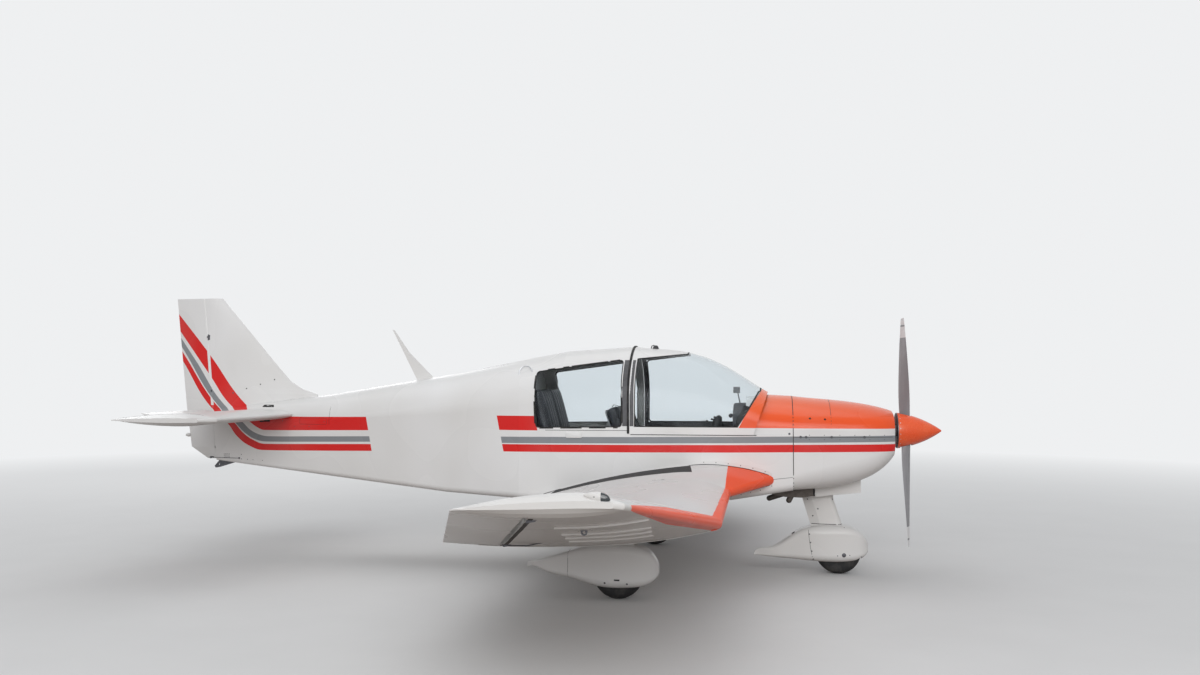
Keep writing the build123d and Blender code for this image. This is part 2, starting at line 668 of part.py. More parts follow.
def hinged(fixed, moving, low, high, nose_low, nose_high, centres, forward):
    """Joins a moving surface to its fixed one: round nose, cove, lugs on one and a rod through the other."""
    run = (high - low).normalized()
    reach = forward.normalized() * (max(nose_low, nose_high) + GAP + LUG_BITE)
    moving = moving + cone_bar(low, high, nose_low, nose_high)
    for slot in lug_slots(low, high, centres, reach):
        moving = moving - slot
    moving = moving + rod(low, high, HINGE_ROD)
    fixed = fixed - cone_bar(low - run * GAP, high + run * GAP, nose_low + GAP, nose_high + GAP)
    for plate in hinge_lugs(low, high, centres, reach):
        fixed = fixed + plate
    fixed = fixed - rod(low - run * GAP, high + run * GAP, HINGE_ROD + PIN_GAP)
    return fixed, moving


def depths(chord, share, upper=WING_UPPER, lower=WING_LOWER):
    """Height of both faces of a wing section above and below its chord line, behind its thickest point."""
    found = []
    for high, high_at in ((upper * chord, WING_UPPER_AT * chord), (lower * chord, WING_LOWER_AT * chord)):
        back = chord - high_at
        drop = high - TE_THICKNESS / 2
        radius = (back ** 2 + drop ** 2) / (2 * drop)
        found.append(high - radius + math.sqrt(radius ** 2 - (share * chord - high_at) ** 2))
    return found


def inner_wing_and_flap():
    """Left inner panel and its flap, hinged close to the lower skin."""
    blank = inner_wing_blank()
    te = WING_LE_STATION + WING_CHORD
    hinge_station = te - FLAP_CHORD
    share = 1 - FLAP_CHORD / WING_CHORD
    lower = depths(WING_CHORD, share)[1]
    chord_z = WING_TE_Z + (WING_LE_Z - WING_TE_Z) * (1 - share)
    hinge_z = chord_z - lower + FLAP_NOSE + 1
    low = at(hinge_station, FLAP_INNER_Y, hinge_z)
    high = at(hinge_station, FLAP_OUTER_Y, hinge_z)
    bay = block(hinge_station - GAP, te + OVER, FLAP_INNER_Y - GAP, FLAP_OUTER_Y + GAP, BELOW, ABOVE)
    flap = blank & block(hinge_station, te + OVER, FLAP_INNER_Y, FLAP_OUTER_Y, BELOW, ABOVE)
    wing = blank - bay - side_blank()
    wing, flap = hinged(wing, flap, low, high, FLAP_NOSE, FLAP_NOSE, (0.08, 0.5, 0.92), Vector(1, 0, 0))
    return wing, flap, (low, high)


def outer_wing_and_aileron():
    """Left outer panel and its aileron, whose ends are square to the raised panel."""
    blank = outer_wing_blank()
    te = WING_LE_STATION + WING_CHORD
    tip_te = TIP_LE_STATION + TIP_CHORD
    ends = []
    radii = []
    for chord, te_station, le_z, te_z, y in (
        (WING_CHORD, te, WING_LE_Z, WING_TE_Z, CRANK_Y),
        (TIP_CHORD, tip_te, TIP_LE_Z, TIP_TE_Z, TIP_Y),
    ):
        up, down = depths(chord, 1 - AILERON_CHORD / chord)
        chord_z = te_z + (le_z - te_z) * AILERON_CHORD / chord
        ends.append(at(te_station - AILERON_CHORD, y, chord_z + (up - down) / 2))
        radii.append((up + down) / 2 - 2.5)
    line = ends[1] - ends[0]
    panel_out = Vector(0, line.Y, line.Z).normalized()
    normal = Vector(0, -panel_out.Z, panel_out.Y)
    aft = Vector(-1, 0, 0)
    width = math.hypot(line.Y, line.Z)
    inner_v = AILERON_INNER_END
    outer_v = width - AILERON_OUTER_END

    def on_line(v):
        return ends[0] + line * (v / width)

    def behind(v_low, v_high, lead):
        corners = []
        for v, back in ((v_low, -lead), (v_high, -lead), (v_high, 500), (v_low, 500)):
            corners.append(on_line(v) + aft * back - normal * 300)
        return Solid.extrude(Face(Wire.make_polygon(corners, close=True)), normal * 600)

    share = [inner_v / width, outer_v / width]
    nose = [radii[0] + (radii[1] - radii[0]) * s for s in share]
    low, high = on_line(inner_v), on_line(outer_v)
    aileron = blank & behind(inner_v, outer_v, 0)
    panel = blank - behind(inner_v - 2 * GAP, outer_v + 2 * GAP, AILERON_LEAD)
    forward = normal.cross(line).normalized()
    if forward.X < 0:
        forward = forward * -1
    panel, aileron = hinged(panel, aileron, low, high, nose[0], nose[1], (0.1, 0.5, 0.9), forward)
    return panel, aileron, (low, high)


def tip_cap():
    """Left wing tip cap: a short rounded end with a lamp fairing on its outer edge."""
    tip_te = TIP_LE_STATION + TIP_CHORD
    cap = lofted([
        airfoil_wire(TIP_Y, TIP_LE_STATION, TIP_LE_Z, tip_te, TIP_TE_Z),
        airfoil_wire(TIP_Y + 35, TIP_LE_STATION + 12, TIP_LE_Z + 8, tip_te - 12, TIP_TE_Z + 9,
                     upper=0.066, lower=0.034),
        airfoil_wire(SPAN_Y, TIP_LE_STATION + 60, TIP_LE_Z + 14, tip_te - 60, TIP_TE_Z + 16,
                     upper=0.034, lower=0.012),
    ])
    return cap


def rounded_wire(aft, y_mid, z_low, z_high, half_width, share=0.5):
    """Upright rounded rectangle across the fuselage's direction."""
    r = min(half_width, (z_high - z_low) / 2) * share
    diag = r * (1 - math.sqrt(0.5))
    y0, y1 = y_mid - half_width, y_mid + half_width
    return Wire([
        Line(at(aft, y0 + r, z_low), at(aft, y1 - r, z_low)),
        ThreePointArc(at(aft, y1 - r, z_low), at(aft, y1 - diag, z_low + diag), at(aft, y1, z_low + r)),
        Line(at(aft, y1, z_low + r), at(aft, y1, z_high - r)),
        ThreePointArc(at(aft, y1, z_high - r), at(aft, y1 - diag, z_high - diag), at(aft, y1 - r, z_high)),
        Line(at(aft, y1 - r, z_high), at(aft, y0 + r, z_high)),
        ThreePointArc(at(aft, y0 + r, z_high), at(aft, y0 + diag, z_high - diag), at(aft, y0, z_high - r)),
        Line(at(aft, y0, z_high - r), at(aft, y0, z_low + r)),
        ThreePointArc(at(aft, y0, z_low + r), at(aft, y0 + diag, z_low + diag), at(aft, y0 + r, z_low)),
    ])


def leaf_wire(z, front, rear, y_mid, thickness, nose=0.18, tail=3.0):
    """Level streamlined section: round nose, two full sides and a thin trailing edge."""
    half = thickness / 2
    chord = rear - front
    r = nose * chord
    widest = front + 0.36 * chord
    a = widest - front
    turn = 2 * math.atan((half - r) / (a - r)) if half > r else 0.0
    join_a = r * (1 - math.sin(turn)) if turn else r
    join_y = r * math.cos(turn) if turn else r
    quarter = (widest + rear) / 2 + 0.02 * chord
    side = half * 0.78
    return Wire([
        ThreePointArc(at(front + join_a, y_mid - join_y, z), at(front, y_mid, z),
                      at(front + join_a, y_mid + join_y, z)),
        ThreePointArc(at(front + join_a, y_mid + join_y, z), at(widest, y_mid + half, z),
                      at(quarter, y_mid + side, z)),
        Line(at(quarter, y_mid + side, z), at(rear, y_mid + tail, z)),
        Line(at(rear, y_mid + tail, z), at(rear, y_mid - tail, z)),
        Line(at(rear, y_mid - tail, z), at(quarter, y_mid - side, z)),
        ThreePointArc(at(quarter, y_mid - side, z), at(widest, y_mid - half, z),
                      at(front + join_a, y_mid - join_y, z)),
    ])


def spat(sections, wheel_station, y_mid):
    """Wheel fairing: hollow rounded body, open below round the tyre."""
    outer = lofted([rounded_wire(wheel_station + row[0], y_mid, *row[1:]) for row in sections], ruled=False)
    inner_rows = sections[1:-2]
    wires = []
    for aft, low, high, half in inner_rows:
        wires.append(rounded_wire(wheel_station + aft, y_mid, low + SPAT_SKIN, high - SPAT_SKIN,
                                  half - SPAT_SKIN))
    inner = lofted(wires, ruled=False)
    chord = math.sqrt(WHEEL_RADIUS ** 2 - SPAT_MOUTH_Z ** 2) + GAP
    opening = block(wheel_station - chord, wheel_station + chord, y_mid - TYRE_WIDTH / 2 - GAP,
                    y_mid + TYRE_WIDTH / 2 + GAP, 0, SPAT_CUT_Z)
    axle_half = Vector(0, TYRE_WIDTH / 2 + GAP, 0)
    axle = at(wheel_station, y_mid, WHEEL_RADIUS)
    return outer, (outer - inner) - opening - rod(axle - axle_half, axle + axle_half, WHEEL_RADIUS + GAP)


def tyre_and_rim(station, y_mid):
    """Tyre with a rounded tread and its split aluminium rim, bored for the axle."""
    axle = at(station, y_mid, WHEEL_RADIUS)
    half = TYRE_WIDTH / 2
    side = Plane(origin=axle, x_dir=Vector(0, 1, 0), z_dir=Vector(1, 0, 0))
    profile = side * make_face([
        Line((-half + 14, RIM_RADIUS), (half - 14, RIM_RADIUS)),
        Line((half - 14, RIM_RADIUS), (half, RIM_RADIUS + 34)),
        ThreePointArc((half, RIM_RADIUS + 34), (half - 12, WHEEL_RADIUS - 22), (half - 40, WHEEL_RADIUS - 3)),
        ThreePointArc((half - 40, WHEEL_RADIUS - 3), (0, WHEEL_RADIUS), (-half + 40, WHEEL_RADIUS - 3)),
        ThreePointArc((-half + 40, WHEEL_RADIUS - 3), (-half + 12, WHEEL_RADIUS - 22), (-half, RIM_RADIUS + 34)),
        Line((-half, RIM_RADIUS + 34), (-half + 14, RIM_RADIUS)),
    ])
    axis = Axis(axle, Vector(0, 1, 0))
    tyre = revolve(profile, axis)
    rim_profile = side * make_face(Polyline([
        (-half + 20, AXLE_RADIUS + PIN_GAP), (half - 20, AXLE_RADIUS + PIN_GAP), (half - 20, 30), (20, 34),
        (20, RIM_RADIUS - 14), (half - 14, RIM_RADIUS - 6), (half - 14, RIM_RADIUS), (-half + 14, RIM_RADIUS),
        (-half + 14, RIM_RADIUS - 6), (-20, RIM_RADIUS - 14), (-20, 34), (-half + 20, 30)], close=True))
    rim = revolve(rim_profile, axis)
    return tyre, rim


def fork(station, y_mid, crown_station):
    """Wheel fork: a crown plate over the tyre, an arm at each side, and the axle between."""
    inner = TYRE_WIDTH / 2 + GAP
    outer = inner + ARM_THICKNESS
    front = crown_station - ARM_HALF
    rear = crown_station + ARM_HALF
    low_z = WHEEL_RADIUS - GAP - AXLE_RADIUS
    pieces = block(front, rear, y_mid - outer, y_mid + outer, FORK_CROWN_Z - CROWN_THICKNESS, FORK_CROWN_Z)
    arm = [(front, FORK_CROWN_Z), (rear, FORK_CROWN_Z), (station + ARM_FOOT_HALF, low_z),
           (station - ARM_FOOT_HALF, low_z)]
    pieces = pieces + side_prism(arm, y_mid - outer, y_mid - inner)
    pieces = pieces + side_prism(arm, y_mid + inner, y_mid + outer)
    axle_half = Vector(0, outer, 0)
    axle = at(station, y_mid, WHEEL_RADIUS)
    return pieces + rod(axle - axle_half, axle + axle_half, AXLE_RADIUS)


def largest(shape):
    """Biggest solid of a cut shape, without the scraps beyond a cut."""
    return max(shape.solids(), key=lambda solid: solid.volume)


def main_gear():
    """Left main leg with its fork and axle, its fairing, spat, tyre and rim."""
    y = TRACK / 2
    leg = fork(MAIN_WHEEL_STATION, y, STRUT_STATION)
    leg = leg + rod(at(STRUT_STATION, y, STRUT_LOW_Z), at(STRUT_STATION, y, STRUT_TOP_Z), STRUT_RADIUS)
    outer, shell = spat(MAIN_SPAT_SECTIONS, MAIN_WHEEL_STATION, y)
    bore = rod(at(STRUT_STATION, y, BELOW), at(STRUT_STATION, y, STRUT_TOP_Z + OVER), STRUT_RADIUS + SEAT_GAP)
    upper_bore = bore & block(0, TAIL_STATION, 0, SPAN_Y, FORK_CROWN_Z - CROWN_THICKNESS - GAP, ABOVE)
    shell = shell - upper_bore
    more_chord, more_thickness = LEG_SPREAD
    rear = LEG_FRONT + LEG_CHORD
    fairing = lofted([
        leaf_wire(LEG_LOW_Z, LEG_FRONT, rear, y, LEG_THICKNESS),
        leaf_wire(LEG_TOP_Z, LEG_FRONT, rear + more_chord, y, LEG_THICKNESS + more_thickness),
    ])
    fairing = largest(fairing - outer - inner_wing_blank() - bore)
    tyre, rim = tyre_and_rim(MAIN_WHEEL_STATION, y)
    return leg, fairing, shell, tyre, rim


def nose_gear():
    """Steered nose leg with its fork, fairing, spat, tyre and rim, and the bearing that holds it."""
    top = at(NOSE_STRUT_TOP[0], 0, NOSE_STRUT_TOP[1])
    foot = at(NOSE_STRUT_FOOT[0], 0, NOSE_STRUT_FOOT[1])
    strut = rod(foot - (top - foot) * 0.02, top, NOSE_STRUT_RADIUS)
    leg = fork(NOSE_WHEEL_STATION, 0, NOSE_STRUT_FOOT[0] - GAP) + strut
    outer, shell = spat(NOSE_SPAT_SECTIONS, NOSE_WHEEL_STATION, 0)
    hole = rod(foot - (top - foot) * 0.05, foot + (top - foot) * 0.2, NOSE_STRUT_RADIUS + SEAT_GAP)
    shell = shell - hole
    front_top, rear_top = NOSE_FAIRING_TOP
    front_foot, rear_foot = NOSE_FAIRING_FOOT
    fairing = lofted([
        leaf_wire(NOSE_FAIRING_LOW_Z, front_foot - NOSE_FAIRING_LEAD, rear_foot - NOSE_FAIRING_LEAD, 0,
                  NOSE_FAIRING_THICKNESS),
        leaf_wire(NOSE_FAIRING_TOP_Z, front_top, rear_top, 0, NOSE_FAIRING_THICKNESS),
    ])
    fairing = largest(fairing - outer - rod(foot - (top - foot) * 0.2, top, NOSE_STRUT_RADIUS + SEAT_GAP))
    tyre, rim = tyre_and_rim(NOSE_WHEEL_STATION, 0)
    run = top - foot
    low, high = [foot + run * share for share in BEARING_SHARES]
    bearing = rod(low, high, NOSE_STRUT_RADIUS + BEARING_WALL) + block(*BEARING_ARM)
    bearing = bearing - rod(foot, top + run * 0.1, NOSE_STRUT_RADIUS + PIN_GAP)
    return leg, fairing, shell, tyre, rim, bearing, (foot, top)


def blade_wire(radius, chord, thickness, pitch):
    """Propeller section: flat-backed lens, turned to its pitch."""
    turn = math.radians(pitch)
    lead = Vector(math.sin(turn), -math.cos(turn), 0)
    out = Vector(math.cos(turn), math.sin(turn), 0)
    hub = at(0, 0, HUB_Z + radius)
    front = hub + lead * chord * 0.45
    back = hub - lead * chord * 0.55
    bulge = hub + lead * chord * 0.08 + out * thickness * 0.72
    flat = hub - out * thickness * 0.28
    return Wire([ThreePointArc(front, bulge, back), ThreePointArc(back, flat, front)])


def propeller_and_spinner():
    """Two-blade propeller on its hub, and the pointed spinner with slots for the blades."""
    shaft = Axis(at(0, 0, HUB_Z), Vector(1, 0, 0))
    blade = lofted([blade_wire(*row) for row in BLADE_SECTIONS], ruled=False)
    other = blade.rotate(shaft, 180)
    hub = rod(at(SPINNER_BASE, 0, HUB_Z), at(-HUB_NOSE, 0, HUB_Z), HUB_RADIUS)
    cuff = rod(at(0, 0, HUB_Z - CUFF_REACH), at(0, 0, HUB_Z + CUFF_REACH), CUFF_RADIUS)
    prop = hub + cuff + blade + other
    side = Plane(origin=at(0, 0, HUB_Z), x_dir=Vector(1, 0, 0), z_dir=Vector(0, -1, 0))
    wall = SPINNER_WALL
    outer = side * make_face([
        Line((-SPINNER_BASE, 0), (-SPINNER_BASE, SPINNER_RADIUS)),
        ThreePointArc((-SPINNER_BASE, SPINNER_RADIUS), (120, 101), (SPINNER_NOSE - 4, 7)),
        Line((SPINNER_NOSE - 4, 7), (SPINNER_NOSE, 0)),
        Line((SPINNER_NOSE, 0), (-SPINNER_BASE, 0)),
    ])
    inner = side * make_face([
        Line((-SPINNER_BASE + wall, 0), (-SPINNER_BASE + wall, SPINNER_RADIUS - wall)),
        ThreePointArc((-SPINNER_BASE + wall, SPINNER_RADIUS - wall), (118, 97), (SPINNER_NOSE - 22, 7)),
        Line((SPINNER_NOSE - 22, 7), (SPINNER_NOSE - 24, 0)),
        Line((SPINNER_NOSE - 24, 0), (-SPINNER_BASE + wall, 0)),
    ])
    spinner = revolve(outer, shaft) - revolve(inner, shaft)
    slot = Pos(PROP_X, 0, HUB_Z) * Box(BLADE_SLOT_LENGTH, BLADE_SLOT_WIDTH, 3 * SPINNER_RADIUS)
    spinner = spinner - slot
    spinner = spinner - rod(at(SPINNER_BASE + 5, 0, HUB_Z), at(50, 0, HUB_Z), HUB_RADIUS + SEAT_GAP)
    prop = prop.rotate(shaft, -PROP_TILT)
    spinner = spinner.rotate(shaft, -PROP_TILT)
    return prop, spinner


def engine():
    """Engine as one plain block with its crankshaft, and the tube frame that holds it on the firewall."""
    rear = FIREWALL_STATION - ENGINE_REAR_GAP
    front = rear - ENGINE_LENGTH
    body = block(front, rear, -ENGINE_WIDTH / 2, ENGINE_WIDTH / 2, HUB_Z - ENGINE_HEIGHT / 2,
                 HUB_Z + ENGINE_HEIGHT / 2 - ENGINE_DROP)
    body = body + rod(at(front + CRANK_RADIUS, 0, HUB_Z), at(SPINNER_BASE + SEAT_GAP, 0, HUB_Z), CRANK_RADIUS)
    middle = HUB_Z - MOUNT_DROP
    for y in (-1, 1):
        for z in (-1, 1):
            inner = at(rear, y * MOUNT_INNER[0], middle + z * MOUNT_INNER[1])
            outer = at(FIREWALL_STATION, y * MOUNT_OUTER[0], middle + z * MOUNT_OUTER[1])
            body = body + rod(inner, outer, MOUNT_RADIUS)
    return body & block(0, FIREWALL_STATION, -WIDE, WIDE, BELOW, ABOVE)


def fin_and_rudder(body):
    """Fin with its forward fillet, rudder on three lugs, and the tail of the fuselage cut to its nose."""
    low = at(RUDDER_HINGE_LOW[0], 0, RUDDER_HINGE_LOW[1])
    high = at(RUDDER_HINGE_HIGH[0], 0, RUDDER_HINGE_HIGH[1])

    def hinge_at(z):
        share = (z - low.Z) / (high.Z - low.Z)
        return RUDDER_HINGE_LOW[0] + share * (RUDDER_HINGE_HIGH[0] - RUDDER_HINGE_LOW[0])

    def nose_at(z):
        share = (z - low.Z) / (high.Z - low.Z)
        return RUDDER_NOSE_LOW + share * (RUDDER_NOSE_HIGH - RUDDER_NOSE_LOW)

    wires = []
    for z, te in RUDDER_SECTIONS:
        station = hinge_at(z)
        half = nose_at(z)
        wires.append(Wire.make_polygon([
            at(station, half, z), at(te, RUDDER_TE / 2, z), at(te, -RUDDER_TE / 2, z), at(station, -half, z)],
            close=True))
    rudder = lofted(wires)
    wires = []
    for z, le, half in FIN_SECTIONS:
        rear = hinge_at(z) - RUDDER_LEAD
        edge = nose_at(z) + FIN_STEP
        thickest = le + FIN_THICKEST * (rear - le)
        wires.append(Wire([
            ThreePointArc(at(le + FIN_NOSE, -FIN_NOSE, z), at(le, 0, z), at(le + FIN_NOSE, FIN_NOSE, z)),
            ThreePointArc(at(le + FIN_NOSE, FIN_NOSE, z), at(thickest, half, z), at(rear, edge, z)),
            Line(at(rear, edge, z), at(rear, -edge, z)),
            ThreePointArc(at(rear, -edge, z), at(thickest, -half, z), at(le + FIN_NOSE, -FIN_NOSE, z)),
        ]))
    fin = lofted(wires) - arch_body(REAR_SECTIONS)
    nose_low = RUDDER_NOSE_LOW - 1
    nose_high = RUDDER_NOSE_HIGH - 1
    aft_end = TAIL_STATION + BELOW
    behind = side_prism([(hinge_at(BELOW) - RUDDER_LEAD, BELOW), (hinge_at(ABOVE) - RUDDER_LEAD, ABOVE),
                         (aft_end, ABOVE), (aft_end, BELOW)], -WIDE, WIDE)
    reach = Vector(nose_low + GAP + LUG_BITE, 0, 0)
    run = (high - low).normalized()
    cove = cone_bar(low - run * OVER, high + run * OVER, nose_low + GAP, nose_high + GAP)
    body = body - behind - cove
    fin = fin - cove
    for plate in hinge_lugs(low, high, RUDDER_LUGS_BODY, reach):
        body = body + plate
    for plate in hinge_lugs(low, high, RUDDER_LUGS_FIN, reach):
        fin = fin + plate
    pin_bore = rod(low - run * GAP, high + run * GAP, HINGE_ROD + PIN_GAP)
    body = body - pin_bore
    fin = fin - pin_bore
    rudder = rudder + cone_bar(low, high, nose_low, nose_high)
    for slot in lug_slots(low, high, RUDDER_LUGS_BODY + RUDDER_LUGS_FIN, reach):
        rudder = rudder - slot
    rudder = rudder + rod(low, high, HINGE_ROD)
    level = block(BOOM_END_STATION, aft_end, -WIDE, WIDE, RUDDER_FOOT_Z, FIN_TOP_Z)
    return body, fin, rudder & level, (low, high)


def tail_plane(body):
    """All-moving tailplane on its cross tube, with a trimming tab along the inner trailing edge."""
    le, te = STAB_LE_STATION, STAB_LE_STATION + STAB_CHORD
    level = STAB_Z
    wires = []
    front_sweep, rear_sweep = STAB_TIP_SWEEP
    tip = (front_sweep, rear_sweep, STAB_TIP_THICKNESS)
    inboard = (0, 0, STAB_THICKNESS)
    for y, (front, rear, thick) in ((-STAB_HALF_SPAN, tip), (STAB_TIP - STAB_HALF_SPAN, inboard),
                                    (STAB_HALF_SPAN - STAB_TIP, inboard), (STAB_HALF_SPAN, tip)):
        wires.append(airfoil_wire(y, le + front, level, te - rear, level, upper=thick, lower=thick))
    blank = lofted(wires)
    side = [(aft, width + STAB_ROOT_GAP) for aft, width in [row[:2] for row in REAR_SECTIONS[3:-1]]]
    for back in STAB_CORE_BACKS:
        side.append((te - back, half_width_at(te - STAB_CORE_BACKS[0]) + STAB_ROOT_GAP))
    core = plan_prism(side + [(aft, -width) for aft, width in reversed(side)], BELOW, ABOVE)
    halves = blank - core
    hinge_station = te - TAB_CHORD
    up, down = depths(STAB_CHORD, 1 - TAB_CHORD / STAB_CHORD, STAB_THICKNESS, STAB_THICKNESS)
    radius = (up + down) / 2 - 2
    tabs = []
    for side_sign in (-1, 1):
        y_low, y_high = sorted((side_sign * TAB_INNER_Y, side_sign * TAB_OUTER_Y))
        low = at(hinge_station, y_low, level + (up - down) / 2)
        high = at(hinge_station, y_high, level + (up - down) / 2)
        tab = blank & block(hinge_station, te + OVER, y_low, y_high, BELOW, ABOVE)
        bay = block(hinge_station, te + OVER, min(y_low - GAP, 0), max(y_high + GAP, 0), BELOW, ABOVE)
        halves, tab = hinged(halves - bay, tab, low, high, radius, radius, (0.12, 0.88), Vector(1, 0, 0))
        tabs.append(tab.rotate(Axis(low, Vector(0, 1, 0)), TAB_REST))
    pivot = at(le + STAB_PIVOT, 0, level)
    reach = Vector(0, STAB_TUBE_REACH, 0)
    halves = halves + rod(pivot - reach, pivot + reach, STAB_TUBE)
    body = body - rod(pivot - reach, pivot + reach, STAB_TUBE + PIN_GAP)
    return body, halves, tabs[0] + tabs[1], pivot, at(hinge_station, 0, level + (up - down) / 2)


def seat_body(outline, y_low, y_high):
    """Cushion and leaning back in one side outline, with rounded edges across the cabin."""
    body = side_prism(outline, y_low, y_high)
    return fillet(body.edges().filter_by(Axis.Y), SEAT_ROUND)


def cabin_fittings():
    """Seats, bench, instrument panel and the two control sticks."""
    parts = {}
    front, rear = SEAT_BASE_STATIONS
    for name, y in (("left", SEAT_Y), ("right", -SEAT_Y)):
        half = SEAT_WIDTH / 2
        parts["seat_" + name] = seat_body(SEAT_OUTLINE, y - half, y + half)
        edge = half - SEAT_BASE_INSET
        top = SEAT_OUTLINE[0][1]
        base = block(front, rear, y - edge, y + edge, FLOOR_Z, top - SEAT_GAP)
        hollow = block(front + SEAT_BASE_WALL, rear - SEAT_BASE_WALL, y - half, y + half,
                       FLOOR_Z + SEAT_BASE_FOOT, top - SEAT_BASE_WALL)
        parts["seat_base_" + name] = base - hollow
    parts["rear_bench"] = seat_body(BENCH_OUTLINE, -BENCH_WIDTH / 2, BENCH_WIDTH / 2)
    parts["instrument_panel"] = arch_body(DECK_SECTIONS, inset=DECK_SKIN + SEAT_GAP) & block(*PANEL_ROOM)
    sticks = []
    for y in (-SEAT_Y, SEAT_Y):
        foot, neck, grip_top = [at(aft, y, z) for aft, z in (STICK_FOOT, STICK_NECK, STICK_TOP)]
        sticks.append(rod(foot, neck, STICK_RADIUS) + rod(neck, grip_top, GRIP_RADIUS))
    parts["control_sticks"] = (sticks[0] + sticks[1]) & block(*STICK_ROOM)
    return parts


def chin_scoop(cowl_outer):
    """Air scoop under the lower cowl, open at the front, with room for the nose strut."""
    front, rear = SCOOP_STATIONS
    half = SCOOP_WIDTH / 2
    outline = [(front, SCOOP_ROOT_Z), (front, SCOOP_LIP_Z), (rear, SCOOP_REAR_Z), (rear, SCOOP_ROOT_Z)]
    body = side_prism(outline, -half, half)
    mouth = block(front - OVER, front + SCOOP_DEPTH, SCOOP_WALL - half, half - SCOOP_WALL,
                  SCOOP_LIP_Z + SCOOP_LIP, SCOOP_ROOF_Z)
    return body - cowl_outer - mouth - nose_strut_bar(NOSE_STRUT_RADIUS + BEARING_WALL + GAP)


def exhaust():
    """Two exhaust pipes from under the engine, out below the firewall."""
    runs = []
    for route in EXHAUST_ROUTES:
        points = [at(*point) for point in route]
        for start, end in zip(points, points[1:]):
            runs.append(rod(start, end, EXHAUST_RADIUS) + Pos(end) * Sphere(EXHAUST_RADIUS))
    pipes = runs[0]
    for run in runs[1:]:
        pipes = pipes + run
    return pipes & block(0, TAIL_STATION, -WIDE, WIDE, BELOW, HUB_Z - ENGINE_HEIGHT / 2)


def blade_aerial(body):
    """Swept blade aerial on the rear deck."""
    blade = side_prism(AERIAL_OUTLINE, -AERIAL_THICKNESS / 2, AERIAL_THICKNESS / 2)
    return blade - body


def tail_skid(body):
    """Bumper under the tail with the tie-down eye."""
    skid = side_prism(SKID_OUTLINE, -SKID_THICKNESS / 2, SKID_THICKNESS / 2)
    eye = rod(at(SKID_EYE[0], -OVER, SKID_EYE[1]), at(SKID_EYE[0], OVER, SKID_EYE[1]), TIE_BORE)
    return skid - body - eye


def wing_tie_down(panel):
    """Tie-down eye under the left outer wing panel."""
    station, y = TIE_EYE
    z = WING_LE_Z + (TIP_LE_Z - WING_LE_Z) * (y - CRANK_Y) / (TIP_Y - CRANK_Y) - TIE_DROP
    half = Vector(0, TIE_THICKNESS / 2, 0)
    centre = at(station, y, z)
    plate = rod(centre - half, centre + half, TIE_RADIUS)
    plate = plate + block(station - TIE_RADIUS, station + TIE_RADIUS, y - half.Y, y + half.Y, z, z + TIE_STEM)
    eye = plate - outer_wing_blank() - rod(centre - half * 2, centre + half * 2, TIE_BORE)
    return min(eye.solids(), key=lambda solid: solid.center().Z)


def build():
    """All pieces by name."""
    parts = {}
    body = fuselage()
    body, fin, rudder, rudder_line = fin_and_rudder(body)
    body, stab, tabs, stab_pivot, tab_line = tail_plane(body)
    parts["fuselage"] = body
    parts["blade_aerial"] = blade_aerial(arch_body(REAR_SECTIONS))
    parts["tail_skid"] = tail_skid(arch_body(REAR_SECTIONS))
    parts["fin"] = fin
    parts["rudder"] = rudder
    parts["tailplane"] = stab
    parts["trim_tab"] = tabs
    frame, glass = canopy()
    parts["canopy_frame"] = frame
    parts["canopy_glass"] = glass
    parts["rear_window_left"], parts["rear_window_right"] = rear_windows()
    parts["cowl_upper"], parts["cowl_lower"] = cowls()
    wing, flap, flap_line = inner_wing_and_flap()
    panel, aileron, aileron_line = outer_wing_and_aileron()
    leg, fairing, shell, tyre, rim = main_gear()
    bore_low = at(STRUT_STATION, TRACK / 2, BELOW)
    bore_high = at(STRUT_STATION, TRACK / 2, STRUT_TOP_Z + SEAT_GAP)
    strut_bore = rod(bore_low, bore_high, STRUT_RADIUS + SEAT_GAP)
    left = {
        "wing_inner": wing - strut_bore,
        "flap": flap,
        "wing_outer": panel,
        "aileron": aileron,
        "wing_tip": tip_cap(),
        "wing_tie_down": wing_tie_down(panel),
        "main_leg": leg,
        "main_leg_fairing": fairing,
        "main_spat": shell,
        "main_tyre": tyre,
        "main_rim": rim,
    }
    for name, shape in left.items():
        parts[name + "_left"] = shape
        parts[name + "_right"] = mirrored(shape)
    (parts["nose_leg"], parts["nose_leg_fairing"], parts["nose_spat"], parts["nose_tyre"], parts["nose_rim"],
     parts["nose_leg_bearing"], steer_line) = nose_gear()
    parts["propeller"], parts["spinner"] = propeller_and_spinner()
    parts["engine"] = engine()
    parts["chin_scoop"] = chin_scoop(arch_body(COWL_SECTIONS, ruled=False))
    parts["exhaust_pipes"] = exhaust()
    parts.update(cabin_fittings())
    lines = {
        "rudder": rudder_line,
        "flap_left": flap_line,
        "aileron_left": aileron_line,
        "nose_steer": steer_line,
        "tailplane": (stab_pivot, stab_pivot + Vector(0, 1, 0)),
        "trim_tab": (tab_line, tab_line + Vector(0, 1, 0)),
    }
    return parts, lines


os.makedirs("parts", exist_ok=True)
pieces, hinge_lines = build()
for piece_name, shape in pieces.items():
    export_step(shape if isinstance(shape, (Solid, Compound)) else Compound(shape.solids()),
                "parts/" + piece_name + ".step")
for line_name, (start, end) in hinge_lines.items():
    print(line_name, "hinge from", tuple(start), "towards", tuple((end - start).normalized()))
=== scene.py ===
# %% [markdown]
# # A four-seat light aeroplane on its parking place
# This file dresses a light touring aeroplane with cranked wings and a sliding canopy. Its solids are loaded
# as a fixed frame, which gives every size and place. Blender adds what a drawing leaves out: paint, glass,
# stitching, screws, seams and worn rubber. Everything is in metres. +X points to the nose, +Y to the left
# wing tip and +Z up; the ground is Z = 0.

import math

